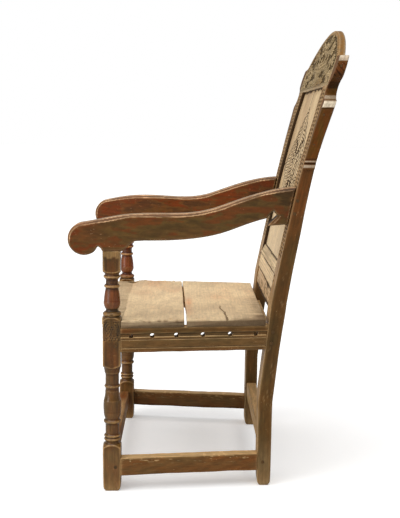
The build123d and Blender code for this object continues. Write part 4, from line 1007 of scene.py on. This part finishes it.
# ---- arms
def arm(side, sign, seed):
    """An arm: the sawn outline of the solid, its top and nose crowned and polished by hands, with painted highlight
    lines along its upper arrises.
    """
    inner = ARM_OUT - ARM_THICK
    rods = [((sign * (inner + 0.2), LEG_Y, ARM_Z + 18), (sign * (inner + 32), LEG_Y, ARM_Z + 18), 4.6)]
    x0, x1 = sorted((sign * 270, sign * 297))
    block = [((x0, LEG_Y - 13, ARM_Z + 0.2), (x1, LEG_Y + 13, ARM_Z + 38))]
    mesh = remeshed(f"arm_{side}", 0.0017, 3, rods, block)
    co, no = points_of(mesh), normals_of(mesh)
    slant = (ARM_OUT - ARM_REAR_OUT) / (ARM_REAR_Y - LEG_Y)
    middle = sign * (ARM_OUT - 22.6 - slant * (co[:, 1] - LEG_Y))
    # gap: how far a point of the side lies from the rim; up: whether that rim looks up.
    rim = np.nonzero(np.abs(no[:, 0]) < 0.35)[0]
    rim = rim[np.unique(np.round(co[rim, 1:] * 2), axis=0, return_index=True)[1]]
    tree = kdtree.KDTree(len(rim))
    for k, v in enumerate(rim):
        tree.insert((co[v, 1], co[v, 2], 0), k)
    tree.balance()
    gap, up = np.zeros(len(co)), np.zeros(len(co))
    for k, (_, y, z) in enumerate(co):
        _, hit, gap[k] = tree.find((y, z, 0))
        up[k] = no[rim[hit], 2]
    up = smooth(up, -0.5, 0.1)
    reach = (2.6 + 3.6 * up) * (1 + 0.25 * layered(co, (60.0, 60.0, 60.0), seed + 1, 2))
    pull = (2.2 + 3.4 * up) / 22.5 * unit(1 - gap / reach)
    co[:, 0] = middle + (co[:, 0] - middle) * (1 - pull)
    set_points(mesh, co)
    blush = layered(co, (30.0, 45.0, 14.0), seed + 3, 3)
    # The right arm alone is painted redder and darker than the left: painted shade.
    red = 0.75 * up * (1 - smooth(gap, 5.0, 13.0)) + 0.35 * (1 - smooth(co[:, 1], -300, -235))
    red = red + 0.65 * smooth(blush, 0.05, 0.4) + (0.35 if side == "right" else 0)
    flat_top = smooth(np.abs(no[:, 0]), 0.25, 0.05)
    # Pale lines along the upper arrises are painted highlights. The band between them is stained red.
    line = up * (bells(gap - reach, (1.25, 0, 1.2)) + 0.85 * (gap < 0.9) * (1 - 0.65 * flat_top))
    line = line * (0.7 + 0.45 * layered(co, 18.0, seed + 5, 2)) - 0.5 * up * (gap > 1.2) * (gap < reach - 1.2)
    darkening_and_shade = 0.25 * smooth(co[:, 1], 60, 150) + 0.32 * smooth(-blush, 0.05, 0.4) + (0.13 if side == "right" else 0)
    dress(f"arm_{side}", mesh, arm_oak, f"arm_{side}", "y", seed, (0.5, 70.0), darkening_and_shade,
          np.where(gap < reach + 1.2, line, -red))


arm("left", 1, 107)
arm("right", -1, 109)


# ---- seat boards
SEAT_HALF = 306.0    # half the width of the boards at the front legs
SEAT_REAR = float(back_y(SEAT_Z)) - 9.5


def seat_board(name, node, front_of, rear_of, seed, crack=None, chip=None):
    """A seat board from side to side: worn top, uneven ends and split edges. The front one is notched."""
    front_board = name == "seat_front"
    spans = np.r_[-1.0, -0.9985, np.linspace(-0.995, 0.995, 240), 0.9985, 1.0]
    step = NOTCH_X / SEAT_HALF    # the notches round the front legs
    if front_board:
        spans = np.sort(np.r_[spans, -step - 1e-4, -step + 1e-4, step - 1e-4, step + 1e-4])
    round_by = 2.0
    rings = []
    for s in spans:
        y0 = front_of(s) if abs(s) <= step or not front_board else LEG_REAR_Y + 0.6
        y1 = rear_of(s)
        y = y0 + round_by * 0.4 + (y1 - y0 - round_by * 0.8) * np.linspace(0, 1, 74)
        near = unit(np.minimum(y - y0, y1 - y) / round_by)
        z = SEAT_Z - round_by * (1 - np.sqrt(1 - (1 - near) ** 2))
        low_y = y0 + 0.5 + (y1 - y0 - 1.0) * np.linspace(1, 0, 16)
        yy = np.r_[y, y1, y1, y1, low_y, y0, y0, y0]
        zz = np.r_[z, SEAT_Z - 3, 414, 406.2, np.full(16, RAIL_Z1), 406.2, 414, SEAT_Z - 3]
        rings.append(xyz(s * (SEAT_HALF - SPLAY * np.clip(yy - LEG_REAR_Y, 0, None)), yy, zz))
    points, faces = loft(np.array(rings))
    x, y, z = points.T
    end = SEAT_HALF - SPLAY * np.clip(y - LEG_REAR_Y, 0, None) - np.abs(x)
    flat = xyz(x, y, 0)
    on_top = smooth(z, 410, 422)
    z -= on_top * (bells(end, (1.6, 0, 5.0)) + 0.5 * (1 + layered(flat, (190.0, 90.0, 50.0), seed, 2)))
    saw = np.sin(x / 1.9 + 3.0 * noise(flat, 60.0, seed + 2))
    saw = saw * smooth(noise(flat, (60.0, 30.0, 50.0), seed + 3), -0.2, 0.5)
    z += on_top * 0.07 * saw
    bite = bells(end, (1.0, 0, 7.0)) * (1.1 + 1.3 * layered(flat, 26.0, seed + 4, 3))
    x -= np.sign(x) * bite * (0.4 + 0.6 * on_top)
    shade_and_grime = np.zeros(len(points))
    if crack:
        path, width, depth = crack
        px, py = np.array(path, float).T
        inside = (x >= px.min()) & (x <= px.max())
        taper = np.interp(x, [px.min(), px.min() + 30, px.max()], [0.2, 0.7, 1.0])
        gap = np.abs(y - np.interp(x, px, py) - 0.8 * noise(x, 7.0, seed + 6))
        z -= on_top * inside * depth * taper * unit(1 - (gap / (width * taper + 1.2)) ** 2)
        shade_and_grime = on_top * inside * taper * (gap < width * 0.8 + 0.9)
    if chip:
        cx, cy, rx, ry, depth = chip
        z -= on_top * depth * unit(1 - ((x - cx) / rx) ** 2 - ((y - cy) / ry) ** 2)
    lumps = layered(flat, (17.0, 15.0, 15.0), seed + 9, 2)
    worn = bells(end, (1.0, 0, 13.0 if front_board else 5.0))
    z -= on_top * worn * ((2.6 + 2.4 * lumps) if front_board else (0.8 + 0.6 * lumps))
    low = z + 3.0 * layered(xyz(0, y, 0), 11.0, seed + 8, 2)
    planed = smooth(layered(flat, (15.0, 130.0, 50.0), seed + 12, 2), -0.1, 0.6)
    # Below, the board's ends are darker and darkest at the foot, painted shade over the rail. The top darkens
    # towards the ends.
    if front_board:
        face = (0.95 - 0.4 * smooth(low, 408, 416)) * (1 - smooth(z, 419.5, 421.5))
        edge_tone = 0.5 * smooth(lumps, -0.3, 0.5) * worn + bells(end, (0.26, 0, 22.0))
        stripe = on_top * (1 - smooth(y, -212.0, -209.5)) * 0.36
        edge_line = on_top * bells(y, (0.6, -209.6, 1.1)) * (x > 60) * (x < 262)
        behind = joint = 0
    else:
        face = (1.0 - 0.16 * smooth(low, 407, 411)) * (1 - smooth(z, 418.0, 419.4))
        edge_tone = 0.1 * worn + bells(end, (0.16, 0, 22.0))
        stripe = edge_line = 0
        behind = smooth(SEAT_REAR - y, 40, 4) * smooth(x, -160, 60)
        joint = -on_top * bells(y, (0.85, -50.0, 9.0)) * within(x, -60, 60, 190, 270)
        joint = joint * (0.7 + 0.5 * noise(flat, 24.0, seed + 1))
    shade_and_grime = np.maximum(shade_and_grime, face * (end < 5))
    shade_and_grime = np.maximum(shade_and_grime, on_top * (edge_tone + 0.08 * saw + 0.14 * planed))
    # Painted shade along the rear edge and in the rear corner by the left stile.
    corner = 0.4 * behind + 0.35 * smooth(y, 0, 110) * smooth(x, 20, 250)
    corner = on_top * corner * (0.8 + 0.3 * noise(flat, 30.0, seed))
    dress(name, (points, faces), seat_oak, node, "x", seed, (0.35, 120.0),
          unit(np.maximum(shade_and_grime, edge_line) + stripe + corner), joint)


def split_y(s, way):
    """One side of the open joint between the boards, wandering a little."""
    share = (s + 1) / 2
    line = -67.5 + 10.5 * share + way * (3.0 + 2.6 * share) / 2
    return line + 0.9 * drift(SEAT_HALF * s + 900.0, 46.0, 8, 3) * (1 if way > 0 else 0.6)


def front_edge(s):
    return -258.9 + 0.9 * drift(SEAT_HALF * s + 700.0, 50.0, 4, 3)


def rear_edge(s):
    return SEAT_REAR + 0.8 * drift(SEAT_HALF * s + 500.0, 60.0, 9, 2)


seat_board("seat_front", "seat_board_front", front_edge, lambda s: split_y(s, -1), 113,
           chip=(-275.0, -214.0, 46.0, 20.0, 5.0))
seat_board("seat_rear", "seat_board_rear", lambda s: split_y(s, 1), rear_edge, 127,
           crack=(((98.0, 31.0), (140.0, 30.0), (190.0, 40.0), (306.0, 43.5)), 1.5, 3.0))


# ---- pegs and pins stay as solids
for name in ("seat_rail_pegs", "stretcher_pegs", "back_pegs", "arm_pegs", "ear_pins", "seat_board_pins"):
    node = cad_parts[name]
    node.data.materials.clear()
    node.data.materials.append(pin_oak if name == "seat_board_pins" else peg_oak)
    eased = node.modifiers.new("eased", "BEVEL")
    eased.width, eased.segments, eased.limit_method = 0.0007, 2, "ANGLE"


# ---- floor, light and camera, in metres
def stage():
    """A pale floor under soft light, and a white background."""
    mesh = bpy.data.meshes.new("floor")
    corners = [(40.0 * x, 40.0 * y, -0.0004) for x, y in ((-1, -1), (1, -1), (1, 1), (-1, 1))]
    mesh.from_pydata(corners, [], [(0, 1, 2, 3)])
    floor = placed("floor", mesh)
    n = Nodes(bpy.data.materials.new("floor"))
    seen = n.add("LightPath").outputs["Is Camera Ray"]
    diffuse = n.add("BsdfDiffuse", {"Color": n.mix(seen, (0.55, 0.55, 0.55, 1), (0.9, 0.9, 0.9, 1))}).outputs[0]
    glow = n.add("Emission", {"Color": (1, 1, 1, 1), "Strength": n.times(seen, 0.3)}).outputs[0]
    n.add("OutputMaterial", {"Surface": n.add("AddShader", {0: diffuse, 1: glow}).outputs[0]})
    mesh.materials.append(n.owner)

    bpy.context.scene.world = bpy.data.worlds.new("white")
    n = Nodes(bpy.context.scene.world)
    seen = n.add("LightPath").outputs["Is Camera Ray"]
    strength = n.add("MapRange", {"Value": seen, "To Min": 0.36, "To Max": 1.0}).outputs[0]
    sky = n.add("Background", {"Color": (1, 1, 1, 1), "Strength": strength}).outputs[0]
    n.add("OutputWorld", {"Surface": sky})

    key = bpy.data.lights.new("key", "SUN")
    key.energy, key.angle = 2.1, math.radians(70)
    lamp = placed("key", key)
    lamp.rotation_euler = Vector((-0.2, 0.12, -0.97)).to_track_quat("-Z", "Y").to_euler()
    soft = bpy.data.lights.new("soft", "AREA")
    soft.shape, soft.size, soft.size_y, soft.energy = "RECTANGLE", 1.6, 2.4, 44.0
    box = placed("soft", soft)
    box.location = (1.9, -2.7, 1.3)
    box.rotation_euler = (Vector((0, 0, 0.55)) - box.location).to_track_quat("-Z", "Y").to_euler()


def camera():
    """The photograph's camera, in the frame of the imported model."""
    turn, tilt, roll = -0.017, 0.141, 0.011
    focal, height = 920, 518                # of the photograph, in its pixels
    ahead = Vector((-math.cos(turn), -math.sin(turn), 0))
    right = Vector((-math.sin(turn), math.cos(turn), 0))
    up = Vector((0, 0, 1)) * math.cos(tilt) + ahead * math.sin(tilt)
    forward = ahead * math.cos(tilt) - Vector((0, 0, 1)) * math.sin(tilt)
    x = right * math.cos(roll) + up * math.sin(roll)
    y = up * math.cos(roll) - right * math.sin(roll)
    data = bpy.data.cameras.new("camera")
    data.sensor_fit, data.sensor_height, data.lens = "VERTICAL", 36.0, 36.0 * focal / height
    data.clip_start, data.clip_end = 0.05, 200
    eye = placed("camera", data)
    matrix = Matrix((x, y, -forward)).transposed().to_4x4()
    matrix.translation = Vector((2.4424, -0.0615, 0.8757))
    eye.matrix_world = matrix
    bpy.context.scene.camera = eye


stage()
camera()
bpy.context.scene.view_settings.view_transform = "Standard"
